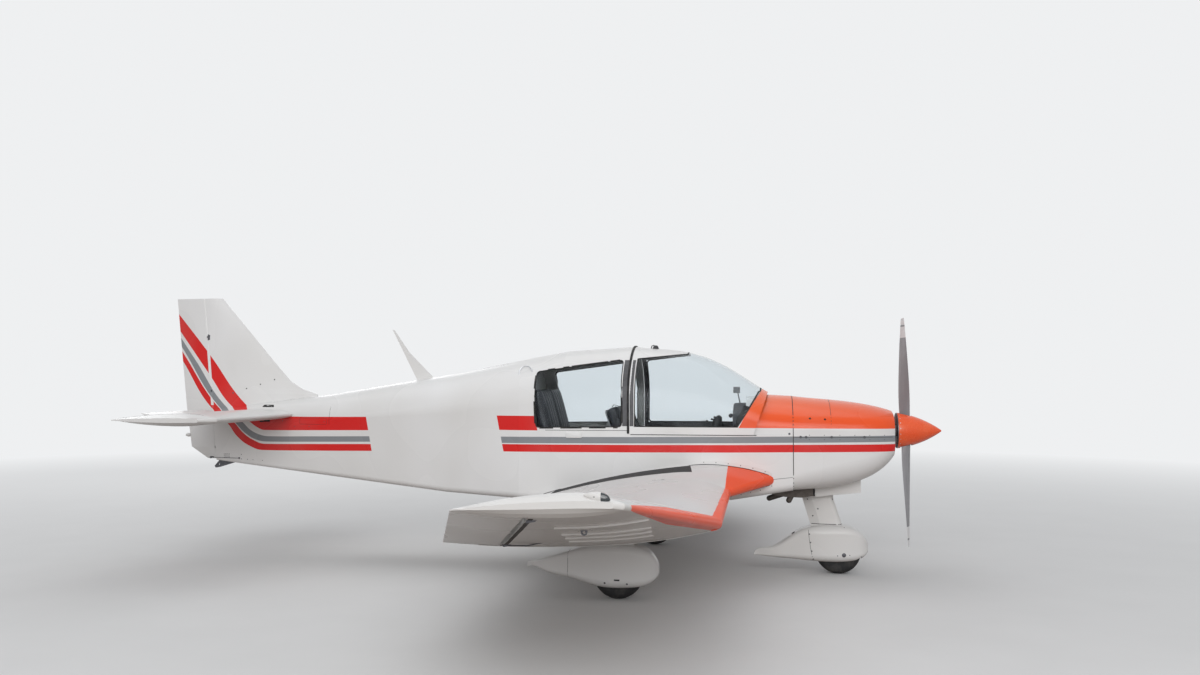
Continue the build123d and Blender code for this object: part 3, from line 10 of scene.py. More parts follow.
import bmesh
import bpy
from mathutils import Matrix, Vector
from mathutils.bvhtree import BVHTree


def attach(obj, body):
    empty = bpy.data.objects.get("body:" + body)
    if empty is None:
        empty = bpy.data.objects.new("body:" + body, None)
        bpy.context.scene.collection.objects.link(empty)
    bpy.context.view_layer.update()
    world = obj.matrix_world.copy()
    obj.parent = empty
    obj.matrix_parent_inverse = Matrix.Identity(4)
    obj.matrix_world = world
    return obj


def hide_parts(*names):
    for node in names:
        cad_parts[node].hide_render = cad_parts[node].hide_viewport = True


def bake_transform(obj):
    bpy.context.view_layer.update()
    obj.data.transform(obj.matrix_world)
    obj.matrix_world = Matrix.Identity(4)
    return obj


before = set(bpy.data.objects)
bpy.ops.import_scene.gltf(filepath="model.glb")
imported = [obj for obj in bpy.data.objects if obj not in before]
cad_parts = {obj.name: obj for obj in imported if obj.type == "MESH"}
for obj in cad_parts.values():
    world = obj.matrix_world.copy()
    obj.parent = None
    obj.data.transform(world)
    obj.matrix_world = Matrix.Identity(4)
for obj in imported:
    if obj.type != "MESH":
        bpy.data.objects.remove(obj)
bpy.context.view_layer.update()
scene = bpy.context.scene
X, Y, Z = Vector((1, 0, 0)), Vector((0, 1, 0)), Vector((0, 0, 1))
SIDES = ((-1, "right"), (1, "left"))

# %% [markdown]
# ## Where the photograph was taken from
# A camera's place can be guessed by eye, or worked out from points whose places are known, such as the
# wheels and the wing tips. The second way was used, so the outline fits. The camera stood beside the right
# wing at eye height, nearly nine metres from the centre line, turned a little towards the tail.

# %% Camera
EYE = Vector((2.0145, -8.946, 1.634))
YAW = math.radians(9.08)          # turned left from looking straight across the aeroplane
PITCH = math.radians(2.4155)      # tilted up
ROLL = math.radians(0.046)
LENS_MM = 30.56
SENSOR_MM = 36.0


def add(name, data, matrix=None):
    """Puts an object in the scene."""
    made = bpy.data.objects.new(name, data)
    if matrix is not None:
        made.matrix_world = matrix
    scene.collection.objects.link(made)
    return made


def aimed(way, place=(0, 0, 0)):
    """Place and turn of a lamp or camera that looks along a direction."""
    return Matrix.Translation(place) @ Vector(way).to_track_quat("-Z", "Y").to_matrix().to_4x4()


look = Vector((-math.sin(YAW) * math.cos(PITCH), math.cos(YAW) * math.cos(PITCH), math.sin(PITCH)))
camera_data = bpy.data.cameras.new("camera")
camera_data.lens = LENS_MM
camera_data.sensor_width = SENSOR_MM
scene.camera = add("camera", camera_data, aimed(look, EYE) @ Matrix.Rotation(ROLL, 4, "Z"))
scene.view_settings.view_transform = "Standard"
print("camera stands", round(-EYE.y, 2), "m from the centre line")

# %% [markdown]
# ## How a finish is written here
# A finish is a small network of nodes. Pictures could be wrapped round each piece, but they blur up close and
# need unwrapping; patterns worked out from the place on the piece stay sharp. The helper below keeps each
# recipe short: it knows the place (x, y, z), can mix two tones by a share, and can make fine grain.

# %% A helper for recipes
class Nodes:
    """A network of nodes and the small steps that it is built from."""

    def __init__(self, tree):
        self.tree = tree
        tree.nodes.clear()

    def feed(self, value, socket):
        if isinstance(value, bpy.types.NodeSocket):
            self.tree.links.new(value, socket)
        elif isinstance(value, tuple) and len(value) < len(socket.default_value):
            socket.default_value = value + (1.0,)        # a colour without its alpha
        else:
            socket.default_value = value

    def node(self, kind, inputs=None, out=0, **settings):
        """Adds a node with its inputs fed, and gives one of its outputs."""
        made = self.tree.nodes.new(kind)
        for name, value in settings.items():
            setattr(made, name, value)
        for socket, value in (inputs or {}).items():
            self.feed(value, made.inputs[socket])
        return made.outputs[out] if made.outputs else None

    def sum(self, how, a, b=0.0, c=0.0):
        """One arithmetic step, such as ADD or MINIMUM."""
        return self.node("ShaderNodeMath", {0: a, 1: b, 2: c}, operation=how)

    def above(self, value, edge, soft=0.0012):
        """0 below an edge and 1 above it, with a hair's breadth between."""
        over = self.sum("SUBTRACT", value, edge)
        return self.node("ShaderNodeMapRange", {"Value": over, "From Min": -soft, "From Max": soft},
                         interpolation_type="SMOOTHSTEP")

    def both(self, *shares):
        """Share that is 1 only where every share is 1."""
        result = shares[0]
        for share in shares[1:]:
            result = self.sum("MULTIPLY", result, share)
        return result

    def either(self, *shares):
        """Share that is 1 where any share is 1."""
        result = shares[0]
        for share in shares[1:]:
            result = self.sum("MAXIMUM", result, share)
        return result

    def not_(self, share):
        return self.sum("SUBTRACT", 1.0, share)

    def between(self, value, low, high, soft=0.0012):
        """Share that is 1 between two edges."""
        return self.both(self.above(value, low, soft), self.not_(self.above(value, high, soft)))

    def line(self, along, start, end):
        """Straight line through two (along, height) points, as a height."""
        slope = (end[1] - start[1]) / (end[0] - start[0])
        return self.sum("MULTIPLY_ADD", along, slope, start[1] - slope * start[0])

    def tone(self, share, low, high):
        """Mix of two colours."""
        return self.node("ShaderNodeMix", {0: share, 6: low, 7: high}, 2, data_type="RGBA")

    def spread(self, value, low, high, to_low, to_high):
        """Value moved from one span to another."""
        return self.node("ShaderNodeMapRange", {"Value": value, "From Min": low, "From Max": high, "To Min": to_low,
                                      "To Max": to_high})

    def seen(self):
        """1 for rays from the camera, also through glass and off what shines."""
        ray = self.node("ShaderNodeLightPath").node.outputs
        return self.either(ray["Is Camera Ray"], ray["Is Transmission Ray"], ray["Is Glossy Ray"])


class Recipe(Nodes):
    """One finish under construction: a shader and the place on the piece."""

    def __init__(self, name, rough=0.5, metal=0.0, coat=0.0, coat_rough=0.08, spec=0.5):
        self.finish = bpy.data.materials.new(name)
        self.finish.use_nodes = True
        super().__init__(self.finish.node_tree)
        self.surface = self.node("ShaderNodeBsdfPrincipled", {
            "Roughness": rough, "Metallic": metal, "Coat Weight": coat, "Coat Roughness": coat_rough,
            "Specular IOR Level": spec})
        self.shader = self.surface.node
        self.node("ShaderNodeOutputMaterial", {0: self.surface})
        self.place = self.node("ShaderNodeTexCoord", out="Object")
        self.x, self.y, self.z = self.node("ShaderNodeSeparateXYZ", {0: self.place}).node.outputs

    def course(self, along, points):
        """Height of a bent line through (along, height) points, kept straight between them."""
        lows = [min(p[k] for p in points) for k in (0, 1)]
        spans = [max(p[k] for p in points) - lows[k] for k in (0, 1)]
        step = self.node("ShaderNodeFloatCurve", {"Value": self.sum("MULTIPLY_ADD", along, 1 / spans[0],
                                                          -lows[0] / spans[0])}).node
        curve = step.mapping.curves[0]
        spots = [[(p[k] - lows[k]) / spans[k] for k in (0, 1)] for p in points]
        for spot in spots[1:-1]:
            curve.points.new(*spot)
        for point, spot in zip((curve.points[0], curve.points[len(points) - 1]), (spots[0], spots[-1])):
            point.location = spot
        for point in curve.points:
            point.handle_type = "AUTO_CLAMPED"
        step.mapping.update()
        return self.sum("MULTIPLY_ADD", step.outputs[0], spans[1], lows[1])

    def stretch(self, factors):
        """Place, multiplied along each axis if the pattern runs one way."""
        if not factors:
            return self.place
        return self.node("ShaderNodeVectorMath", {0: self.place, 1: factors}, operation="MULTIPLY")

    def grain(self, scale, detail=3.0, factors=None):
        """Soft random pattern, from 0 to 1."""
        return self.node("ShaderNodeTexNoise", {"Scale": scale, "Detail": detail, "Roughness": 0.55,
                                      "Vector": self.stretch(factors)}, "Fac")

    def blotch(self, scale, low, high, to_low=0.0, to_high=1.0, **kind):
        """Soft random pattern with its middle values spread out."""
        return self.spread(self.grain(scale, **kind), low, high, to_low, to_high)

    def cells(self, scale, factors=None, feature="F1"):
        """Random cells, as in leather grain or cast metal."""
        return self.node("ShaderNodeTexVoronoi", {"Scale": scale, "Vector": self.stretch(factors)}, "Distance",
                         feature=feature)

    def facing(self):
        """How far the surface faces away from the cabin's middle line: below 0 on inner faces."""
        middle = self.node("ShaderNodeCombineXYZ", {0: self.x, 2: 1.2})
        outward = self.node("ShaderNodeVectorMath", {0: self.place, 1: middle}, operation="SUBTRACT")
        normal = self.node("ShaderNodeNewGeometry", out="Normal")
        return self.node("ShaderNodeVectorMath", {0: outward, 1: normal}, "Value", operation="DOT_PRODUCT")

    def bump(self, height, depth, strength=0.6):
        """Small relief from a pattern."""
        relief = self.node("ShaderNodeBump", {"Distance": depth, "Strength": strength, "Height": height})
        self.feed(relief, self.shader.inputs["Normal"])

    def colour(self, value):
        self.feed(value, self.shader.inputs["Base Color"])

    def roughness(self, value):
        self.feed(value, self.shader.inputs["Roughness"])


def shade(colour, factor, lift=0.0):
    """A colour made darker or lighter."""
    return tuple(min(c * factor + lift, 1.0) for c in colour)


WHITE, WHITE_SHADE = (0.76, 0.755, 0.75), (0.70, 0.69, 0.675)
# The wing band's orange, the third here, is brighter and redder than ORANGE: painted light for the band, whose
# curved underside gets less light.
ORANGE, ORANGE_PALE, BAND_ORANGE_LIT = (0.84, 0.090, 0.016), (0.88, 0.150, 0.045), (0.92, 0.080, 0.012)
RED = (0.66, 0.012, 0.010)
GREY, INNER_GREY, INNER_BLACK_AND_RAIL_SHADOW = (0.235, 0.25, 0.265), (0.30, 0.30, 0.29), (0.06, 0.06, 0.064)
DIRT, WING_DIRT, SOOT = (0.42, 0.40, 0.37), (0.42, 0.40, 0.36), (0.035, 0.033, 0.03)
print("recipe helper ready")

# %% [markdown]
# ## Floor and light
# A studio floor shows the shadow that tells the eye the wheels stand on it. The light is an even sky with
# three broad lamps and a low soft sun, which gives the soft shade of an overcast day. The sky could light the
# aeroplane as it looks, but then pale paint clips. So what the camera sees, also in glass, is brighter than
# what lights the aeroplane.

# %% Floor, sky and lamps
FLOOR_HALF = 45.0
SKY_LEVEL = 0.42
BACKDROP = (0.86, 0.87, 0.88)
LAMPS = (("key_lamp", (3.0, -11.5, 6.0), (11.0, 6.0), 560), ("top_lamp", (-1.0, 1.0, 9.5), (12.0, 9.0), 260),
         ("back_lamp", (-7.0, 8.0, 5.0), (7.0, 4.0), 110))        # name, place, size, watts

floor_mesh = bpy.data.meshes.new("floor")
floor_mesh.from_pydata([(x * FLOOR_HALF, y * FLOOR_HALF, 0) for x, y in ((-1, -1), (1, -1), (1, 1), (-1, 1))],
                       [], [(0, 1, 2, 3)])
floor = add("floor", floor_mesh)

scene.world = bpy.data.worlds.new("sky")
scene.world.use_nodes = True
sky = Nodes(scene.world.node_tree)
lighting = sky.node("ShaderNodeBackground", {"Color": (0.92, 0.95, 1.0), "Strength": SKY_LEVEL})
backdrop = sky.node("ShaderNodeBackground", {"Color": BACKDROP, "Strength": 1.0})
sky_mix = sky.node("ShaderNodeMixShader", {0: sky.seen(), 1: lighting, 2: backdrop})
sky.node("ShaderNodeOutputWorld", {0: sky_mix})


def lamp(name, kind, watts, matrix, **settings):
    light = bpy.data.lights.new(name, kind)
    light.energy = watts
    for key, value in settings.items():
        setattr(light, key, value)
    add(name, light, matrix)


for name, place, size, watts in LAMPS:
    lamp(name, "AREA", watts, aimed(Z - Vector(place), place), shape="RECTANGLE", size=size[0],
         size_y=size[1])
# The bright band of sky above the horizon reaches under the wing
lamp("horizon_light", "SUN", 0.85, aimed((-1.2, 11.0, -1.1)), angle=math.radians(35))
print("lamps:", len(LAMPS) + 1)

# %% Floor finish
# Far away the floor fades into the backdrop, so no horizon line crosses the picture. Its light back onto the
# aeroplane is that of an apron, which is darker than the pale floor that the camera sees.
FADE_START, FADE_END = 3.6, 17.0
r = Recipe("pale_floor", rough=0.85, spec=0.2)
seen = r.seen()
pale = r.tone(r.grain(1.3, detail=8.0), (0.70, 0.695, 0.685), (0.76, 0.755, 0.745))
r.colour(r.tone(seen, (0.30, 0.255, 0.225), pale))
away = r.node("ShaderNodeVectorMath", {0: r.place}, "Value", operation="LENGTH")
fade = r.spread(away, FADE_START, FADE_END, 0.0, 1.0)
glow = r.node("ShaderNodeEmission", {"Color": BACKDROP})
faded = r.node("ShaderNodeMixShader", {0: r.both(fade, seen), 1: r.surface, 2: glow})
r.feed(faded, next(n for n in r.tree.nodes if n.type == "OUTPUT_MATERIAL").inputs[0])
floor_mesh.materials.append(r.finish)

# %% [markdown]
# ## The paint scheme
# The aeroplane is white, with an orange nose, orange leading edges, and a ribbon of a red, a grey and a thin
# red stripe that runs along the side and sweeps up over the fin. Painters mask such stripes with tape along
# straight lines. Here each edge of tape is a line in the side view, so one recipe colours the fuselage, the
# cowling, the canopy frame, the fin and the rudder, and the stripes meet across every gap.

# %% Where the stripes run
# Edges as two (x, z) points each, front stripes first
GREY_TOP = ((-0.154, 1.157), (3.056, 1.186))
GREY_LOW = ((-0.154, 1.103), (3.056, 1.136))
RED_TOP = ((-0.154, 1.094), (3.056, 1.117))
RED_LOW = ((-0.154, 1.031), (3.056, 1.057))
FRONT_END = -0.185                       # rear end of the front stripes
BLOCK_X = (-0.215, 0.125)                # short red block under the rear window
BLOCK_Z = (1.213, 1.335)
ORANGE_LOW = ((1.835, 1.247), (3.057, 1.242))
BAND_REAR, BAND_LEAN = (1.815, 1.246), 0.534
TAIL_FRONT = -1.437                      # front end of the tail stripes
SLANT = 0.20                             # lean of the stripes' square ends
STRIPE_Z, BLOCK_MID_Z = 1.13, 1.27       # heights at which the slanted ends have the x given above
# Each edge of the tail stripes, from the rudder's trailing edge forward, in (x, z)
TAIL_EDGES = {
    "thick_top": [(-3.60, 2.40), (-3.491, 2.276), (-3.137, 1.873), (-2.75, 1.399), (-2.62, 1.303),
                  (-2.20, 1.303), (-1.40, 1.310)],
    "thick_low": [(-3.60, 2.272), (-3.471, 2.109), (-3.13, 1.676), (-2.894, 1.385), (-2.687, 1.254),
                  (-2.603, 1.202), (-2.52, 1.176), (-1.975, 1.183), (-1.40, 1.192)],
    "grey_top": [(-3.60, 2.23), (-3.456, 2.039), (-3.285, 1.812), (-2.952, 1.38), (-2.76, 1.246),
                 (-2.665, 1.171), (-2.55, 1.128), (-2.478, 1.120), (-1.974, 1.128), (-1.40, 1.139)],
    "grey_low": [(-3.60, 2.16), (-3.441, 1.945), (-3.02, 1.376), (-2.829, 1.231), (-2.727, 1.144),
                 (-2.601, 1.084), (-2.498, 1.071), (-1.974, 1.079), (-1.40, 1.090)],
    "thin_top": [(-3.60, 2.115), (-3.43, 1.894), (-3.034, 1.379), (-2.843, 1.234), (-2.747, 1.144),
                 (-2.642, 1.084), (-2.518, 1.050), (-1.973, 1.059), (-1.40, 1.070)],
    "thin_low": [(-3.60, 2.05), (-3.422, 1.803), (-3.121, 1.384), (-2.921, 1.23), (-2.809, 1.107),
                 (-2.683, 1.03), (-2.537, 0.992), (-1.953, 0.999), (-1.40, 1.009)],
}
HINGE_LINE = ((0.902, -3.0585), (2.405, -3.2145))       # (z, x) at both ends of the rudder's hinge
HINGE_WHITE, HINGE_WHITE_Z = (-0.006, 0.024), 1.40      # bare strip beside the hinge


def stripe(r, where, low, high):
    """Share between two heights, where another share allows it."""
    return r.both(where, r.above(r.z, low), r.not_(r.above(r.z, high)))


def front_stripes(r):
    """Shares of grey and of red in front of the bare place."""
    leaning = r.sum("MULTIPLY_ADD", r.z, SLANT, r.x)
    ahead = r.above(leaning, FRONT_END + STRIPE_Z * SLANT)
    grey = stripe(r, ahead, r.line(r.x, *GREY_LOW), r.line(r.x, *GREY_TOP))
    red = stripe(r, ahead, r.line(r.x, *RED_LOW), r.line(r.x, *RED_TOP))
    block = r.both(r.between(leaning, *(x + BLOCK_MID_Z * SLANT for x in BLOCK_X)), r.between(r.z, *BLOCK_Z))
    return grey, r.either(red, block)


def tail_stripes(r):
    """Shares of grey and of red on the rear fuselage, the fin and the rudder."""
    leaning = r.sum("MULTIPLY_ADD", r.z, SLANT, r.x)
    behind = r.not_(r.above(leaning, TAIL_FRONT + STRIPE_Z * SLANT))
    edge = {name: r.course(r.x, points) for name, points in TAIL_EDGES.items()}
    grey, thin, thick = (stripe(r, behind, edge[name + "_low"], edge[name + "_top"])
                         for name in ("grey", "thin", "thick"))
    beside = r.sum("SUBTRACT", r.x, r.line(r.z, *HINGE_LINE))
    bare = r.both(r.between(beside, *HINGE_WHITE), r.above(r.z, HINGE_WHITE_Z))
    return grey, r.both(r.either(thick, thin), r.not_(bare))


# %% One recipe for everything that carries the scheme
def painted(name, tail=False, nose=False, inside=None, front=True, inner_edge=-0.02):
    """Gloss paint with this piece's stripes; inside is the tone of its inner face, if it has one, and on the canopy
    frame also of the painted shadow under its rail.
    """
    r = Recipe(name, rough=0.26, coat=0.12, coat_rough=0.06, spec=0.26)
    base = r.tone(r.blotch(1.4, 0.35, 0.7, detail=1.0), WHITE, WHITE_SHADE)
    stripes = [maker(r) for wanted, maker in ((front, front_stripes), (tail, tail_stripes)) if wanted]
    for shares, colour in zip(zip(*stripes), (GREY, RED)):
        base = r.tone(r.either(*shares), base, colour)
    if nose:
        band = r.sum("MULTIPLY_ADD", r.z, BAND_LEAN, BAND_REAR[0] - BAND_LEAN * BAND_REAR[1])
        ahead, over = r.above(r.x, band), r.above(r.z, r.line(r.x, *ORANGE_LOW))
        # The nose orange turns paler upwards, from z 1.30 to 1.50.
        faded = r.tone(r.spread(r.z, 1.30, 1.50, 0.0, 1.0), ORANGE, ORANGE_PALE)
        base = r.tone(r.both(ahead, over), base, faded)
    dirt = r.blotch(2.5, 0.50, 0.85, 0.0, 0.10, detail=1.5, factors=(1.0, 1.0, 0.35))
    base = r.tone(dirt, base, DIRT)
    if nose:
        # Dark patch on the underside below z 0.70, full from x 2.15 forward and fading out aft to x 1.2: partly a
        # soot stain from the exhaust, partly painted shade where the cooling outlet's opening is.
        soot_and_outlet_shade = r.both(r.spread(r.x, 1.2, 2.15, 0.0, 1.0),
                              r.not_(r.above(r.sum("ABSOLUTE", r.y), 0.26, 0.10)),
                              r.not_(r.above(r.z, 0.70, 0.05)))
        smoke = r.blotch(7.0, 0.2, 0.7, 0.3, 0.95, factors=(0.3, 1.0, 1.0))
        base = r.tone(r.both(soot_and_outlet_shade, smoke), base, SOOT)
    if inside:
        inner = r.not_(r.above(r.facing(), inner_edge, 0.01))
        base = r.tone(inner, base, r.tone(r.grain(60.0), inside, shade(inside, 0.8)))
    r.colour(base)
    r.roughness(r.blotch(2.0, 0.3, 0.7, 0.23, 0.30, detail=0.0))
    r.bump(r.grain(1.6, detail=0.0), 0.004, 0.2)
    return r.finish


skin_paint = painted("fuselage_paint", tail=True, nose=True, inside=INNER_GREY, inner_edge=0.02)
cowl_paint = painted("cowl_paint", nose=True, inside=SOOT)
# On the canopy frame the inner edge of 0.06 also takes in the underside of the rail: the black there is painted
# shadow under the rail, while on the inner faces it is the frame's black paint.
canopy_paint = painted("canopy_paint", nose=True, inside=INNER_BLACK_AND_RAIL_SHADOW, front=False, inner_edge=0.06)
tail_paint = painted("tail_paint", tail=True, front=False)
print("paint scheme: side, tail, nose")

# %% [markdown]
# ## Wings: white with orange leading edges
# The leading edge is the first thing that a hangar door or a bird strikes, so it is often a bright colour.
# The band follows the leading edge from the root fairing to the tip, about 40 mm deep on the straight part.
# Its rear edge is a line on the plan view, so the mask needs only x as a function of the distance out.

# %% Wing paint
BAND_PLAN = ((0.55, 1.728), (2.73, 1.709), (3.50, 1.501), (4.262, 1.41))    # distance out, x


def wing_painted(name, band=True):
    """White gloss paint, with the orange band if the piece has the leading edge."""
    r = Recipe(name, rough=0.28, coat=0.06, coat_rough=0.07, spec=0.2)
    base = r.tone(r.blotch(0.8, 0.3, 0.7, detail=0.0), WHITE, WHITE_SHADE)
    if band:
        out = r.sum("ABSOLUTE", r.y)
        root, outer, tip = (r.line(out, a, b) for a, b in zip(BAND_PLAN, BAND_PLAN[1:]))
        edge = r.sum("MINIMUM", root, r.sum("MAXIMUM", outer, tip))
        wander = r.sum("MULTIPLY", r.sum("SUBTRACT", r.grain(5.0), 0.5), 0.008)
        ahead = r.above(r.x, r.sum("ADD", edge, wander))
        within = r.not_(r.above(out, BAND_PLAN[-1][0]))
        # The band's base tone is painted light, a brighter orange that makes up for the shade on its curved
        # underside; random patches of ORANGE in it are wear.
        worn_and_lit_band = r.tone(r.blotch(4.0, 0.45, 0.75, 0.0, 0.35, detail=2.0), BAND_ORANGE_LIT, ORANGE)
        base = r.tone(r.both(ahead, within), base, worn_and_lit_band)
    dirt = r.blotch(1.3, 0.40, 0.90, 0.0, 0.10, detail=0.0, factors=(0.6, 1.0, 1.0))
    r.colour(r.tone(dirt, base, WING_DIRT))
    r.roughness(r.blotch(1.7, 0.3, 0.7, 0.26, 0.33, detail=0.0))
    return r.finish


wing_paint = wing_painted("wing_paint")
plain_paint = wing_painted("plain_white_paint", band=False)
print("wing paint: band of", len(BAND_PLAN), "corners")

# %% [markdown]
# ## Finishes for everything that isn't bodywork
# Rubber, bare metal, cloth and glass each show where they wear. Rubber is grey where dust sits in it, cast
# metal is mottled, and painted steel shines only where hands and boots rub it.

# %% Rubber, metals, glass and trim
SHAFT_Z = 1.213


def rubber(name, tone=(0.022, 0.022, 0.023)):
    r = Recipe(name, rough=0.78, spec=0.3)
    dust = r.blotch(14.0, 0.45, 0.75, 0.0, 0.35, detail=6.0)
    r.colour(r.tone(dust, tone, (0.16, 0.15, 0.135)))
    r.bump(r.cells(260.0), 0.0006, 0.5)
    return r.finish


def metal(name, tone, rough=0.35, metallic=1.0):
    r = Recipe(name, rough=rough, metal=metallic)
    streak = r.blotch(40.0, 0.4, 0.7, detail=6.0)
    r.colour(r.tone(streak, tone, shade(tone, 0.72)))
    r.roughness(r.blotch(70.0, 0.3, 0.7, rough - 0.07, rough + 0.10, detail=5.0))
    r.bump(r.grain(220.0, detail=4.0), 0.0004, 0.4)
    return r.finish


def moulded(name, tone, rough=0.5, grain=380.0, relief=0.0004):
    r = Recipe(name, rough=rough)
    r.colour(r.tone(r.blotch(11.0, 0.35, 0.75, detail=5.0), tone, shade(tone, 1.35, 0.004)))
    r.roughness(r.blotch(26.0, 0.3, 0.7, rough - 0.06, rough + 0.08))
    r.bump(r.cells(grain), relief, 0.5)
    return r.finish


def hide(name, tone):
    """Upholstery leather: fine creased cells, brighter where it has been sat on."""
    r = Recipe(name, rough=0.46, spec=0.45)
    wear = r.blotch(6.0, 0.4, 0.75, detail=5.0)
    r.colour(r.tone(wear, tone, shade(tone, 1.7, 0.004)))
    r.roughness(r.spread(wear, 0.0, 1.0, 0.52, 0.36))
    r.bump(r.cells(150.0, feature="SMOOTH_F1"), 0.0012, 0.55)
    return r.finish


def two_tone(name, pattern, low, high, relief=None, **shader):
    """Two tones mixed by a pattern; relief is a second pattern, its depth and its strength."""
    r = Recipe(name, **shader)
    r.colour(r.tone(pattern(r), low, high))
    if relief:
        r.bump(relief[0](r), *relief[1:])
    return r.finish


tyre_rubber = rubber("tyre_rubber")
seal_rubber = rubber("seal_rubber", (0.014, 0.014, 0.015))
# Dark brown rubber finish for the strips of painted shade along the aileron gaps.
gap_shade_brown = rubber("gap_tape", (0.020, 0.014, 0.011))
dark_steel = metal("dark_steel", (0.10, 0.10, 0.11), rough=0.42, metallic=0.6)
bare_alloy = metal("bare_alloy", (0.62, 0.63, 0.65), rough=0.33)
painted_alloy = metal("wheel_alloy", (0.66, 0.66, 0.65), rough=0.40, metallic=0.4)
scorched_steel = metal("scorched_steel", (0.11, 0.095, 0.085), rough=0.62, metallic=0.7)
cast_metal = metal("cast_metal", (0.26, 0.26, 0.27), rough=0.55, metallic=0.5)
frame_grey = metal("frame_grey", (0.085, 0.085, 0.09), rough=0.48, metallic=0.3)
black_plastic = moulded("black_plastic", (0.018, 0.018, 0.02))
panel_black = moulded("panel_black", (0.024, 0.024, 0.026), rough=0.62)
grey_plastic = moulded("grey_plastic", (0.16, 0.16, 0.165))
dial_face = moulded("dial_face", (0.006, 0.006, 0.007), rough=0.35, grain=200.0, relief=0.0001)
dial_white = moulded("dial_white", (0.80, 0.80, 0.76), rough=0.5, grain=200.0, relief=0.0001)
seat_hide = hide("seat_leather", (0.030, 0.031, 0.036))
welt_hide = hide("welt_leather", (0.020, 0.020, 0.023))
carpet = two_tone("grey_carpet", lambda r: r.grain(420.0, detail=2.0), (0.055, 0.055, 0.058),
                  (0.12, 0.12, 0.122), (lambda r: r.grain(520.0), 0.003, 0.8), rough=0.95, spec=0.15)
webbing = two_tone("belt_webbing", lambda r: r.cells(700.0, (1.0, 1.0, 2.0)), (0.016, 0.016, 0.018),
                   (0.05, 0.05, 0.055), (lambda r: r.cells(700.0, (1.0, 1.0, 2.0)), 0.0008, 0.6),
                   rough=0.8, spec=0.2)
amber = two_tone("amber_display", lambda r: r.cells(120.0, (1.0, 2.4, 1.0)), (0.20, 0.055, 0.006),
                 (0.012, 0.006, 0.003), rough=0.3)
grit = two_tone("walkway_grit", lambda r: r.grain(500.0), (0.035, 0.035, 0.037), (0.12, 0.12, 0.12),
                (lambda r: r.cells(600.0), 0.0015, 0.9), rough=0.95, spec=0.2)
dark_lens = two_tone("dark_lens", lambda r: r.grain(60.0), (0.010, 0.014, 0.018), (0.020, 0.030, 0.036),
                     rough=0.06, coat=0.8, coat_rough=0.02)
clear_lens = two_tone("clear_lens", lambda r: r.cells(180.0), (0.80, 0.80, 0.78), (0.62, 0.62, 0.60),
                      rough=0.12, spec=0.6)

glass = Recipe("window_glass", rough=0.02)       # clear, with faint wiping marks
glass.feed(1.0, glass.shader.inputs["Transmission Weight"])
glass.feed(1.12, glass.shader.inputs["IOR"])
GLASS_TINT = (0.87, 0.91, 0.93)
glass.colour(glass.tone(glass.grain(3.0), GLASS_TINT, shade(GLASS_TINT, 0.97)))
glass.roughness(glass.blotch(18.0, 0.35, 0.8, 0.02, 0.032, detail=5.0, factors=(1.0, 1.0, 3.0)))

spinner_paint = Recipe("spinner_paint", rough=0.26, coat=0.3, coat_rough=0.06, spec=0.35)
faded = spinner_paint.blotch(6.0, 0.4, 0.7, 0.0, 0.6, detail=5.0)
spinner_paint.colour(spinner_paint.tone(faded, ORANGE, ORANGE_PALE))
spinner_paint.roughness(spinner_paint.blotch(40.0, 0.3, 0.7, 0.20, 0.32))

# A blade is grey with a white band near the tip, by its distance from the shaft, so the band turns with it
blade = Recipe("propeller_paint", rough=0.42, spec=0.45)
far = blade.sum("ABSOLUTE", blade.sum("SUBTRACT", blade.z, SHAFT_Z))
wear = blade.blotch(12.0, 0.4, 0.7, detail=6.0, factors=(1.0, 1.0, 0.15))
tip_band = blade.both(blade.above(far, 0.790), blade.not_(blade.between(far, 0.885, 0.900)))
worn_grey = blade.tone(wear, (0.235, 0.235, 0.245), (0.31, 0.31, 0.325))
blade.colour(blade.tone(tip_band, worn_grey, (0.74, 0.74, 0.74)))
blade.roughness(blade.blotch(30.0, 0.3, 0.7, 0.34, 0.50))
blade.bump(blade.grain(160.0, detail=4.0), 0.0004, 0.4)
print("finishes:", len(bpy.data.materials))

# %% Dress the solids
WORN_BY = (
    (skin_paint, "fuselage"), (cowl_paint, "cowl_upper cowl_lower"), (canopy_paint, "canopy_frame"),
    (tail_paint, "fin rudder"), (wing_paint, "wing_inner wing_outer"), (blade.finish, "propeller"),
    (cast_metal, "engine"), (scorched_steel, "exhaust_pipes"), (spinner_paint.finish, "spinner"),
    (dark_steel, "tail_skid main_leg nose_leg nose_leg_bearing wing_tie_down control_sticks"),
    (tyre_rubber, "main_tyre nose_tyre"), (painted_alloy, "main_rim nose_rim"),
    (glass.finish, "canopy_glass rear_window"), (seat_hide, "seat rear_bench"), (grey_plastic, "seat_base"),
    (panel_black, "instrument_panel"))
FINISH_OF = {node: finish for finish, nodes in WORN_BY for node in nodes.split()}
for node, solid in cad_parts.items():
    solid.data.materials.clear()
    solid.data.materials.append(FINISH_OF.get(node.removesuffix("_left").removesuffix("_right"), plain_paint))
print("solids dressed:", len(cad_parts))

# %% [markdown]
# ## Tools for small parts
# Dozens of small parts sit on the bodywork: seams, screws, hinges, lamps. Each could be set by hand, but the
# skin curves everywhere. So a ray is sent at the solid's own surface, and the part is laid where it lands,
# turned to the surface. Shapes are gathered in one mesh before they become a piece.

# %% Finding the skin
skins = {}


def steps(start, stop, count):
    """Evenly spaced numbers, both ends included."""
    return [start + (stop - start) * k / (count - 1) for k in range(count)]


def circle(count, a, b, start=0.0):
    """Directions round a circle from a towards b; start is a share of one step."""
    turns = [2 * math.pi * (k + start) / count for k in range(count)]
    return [a * math.cos(t) + b * math.sin(t) for t in turns]


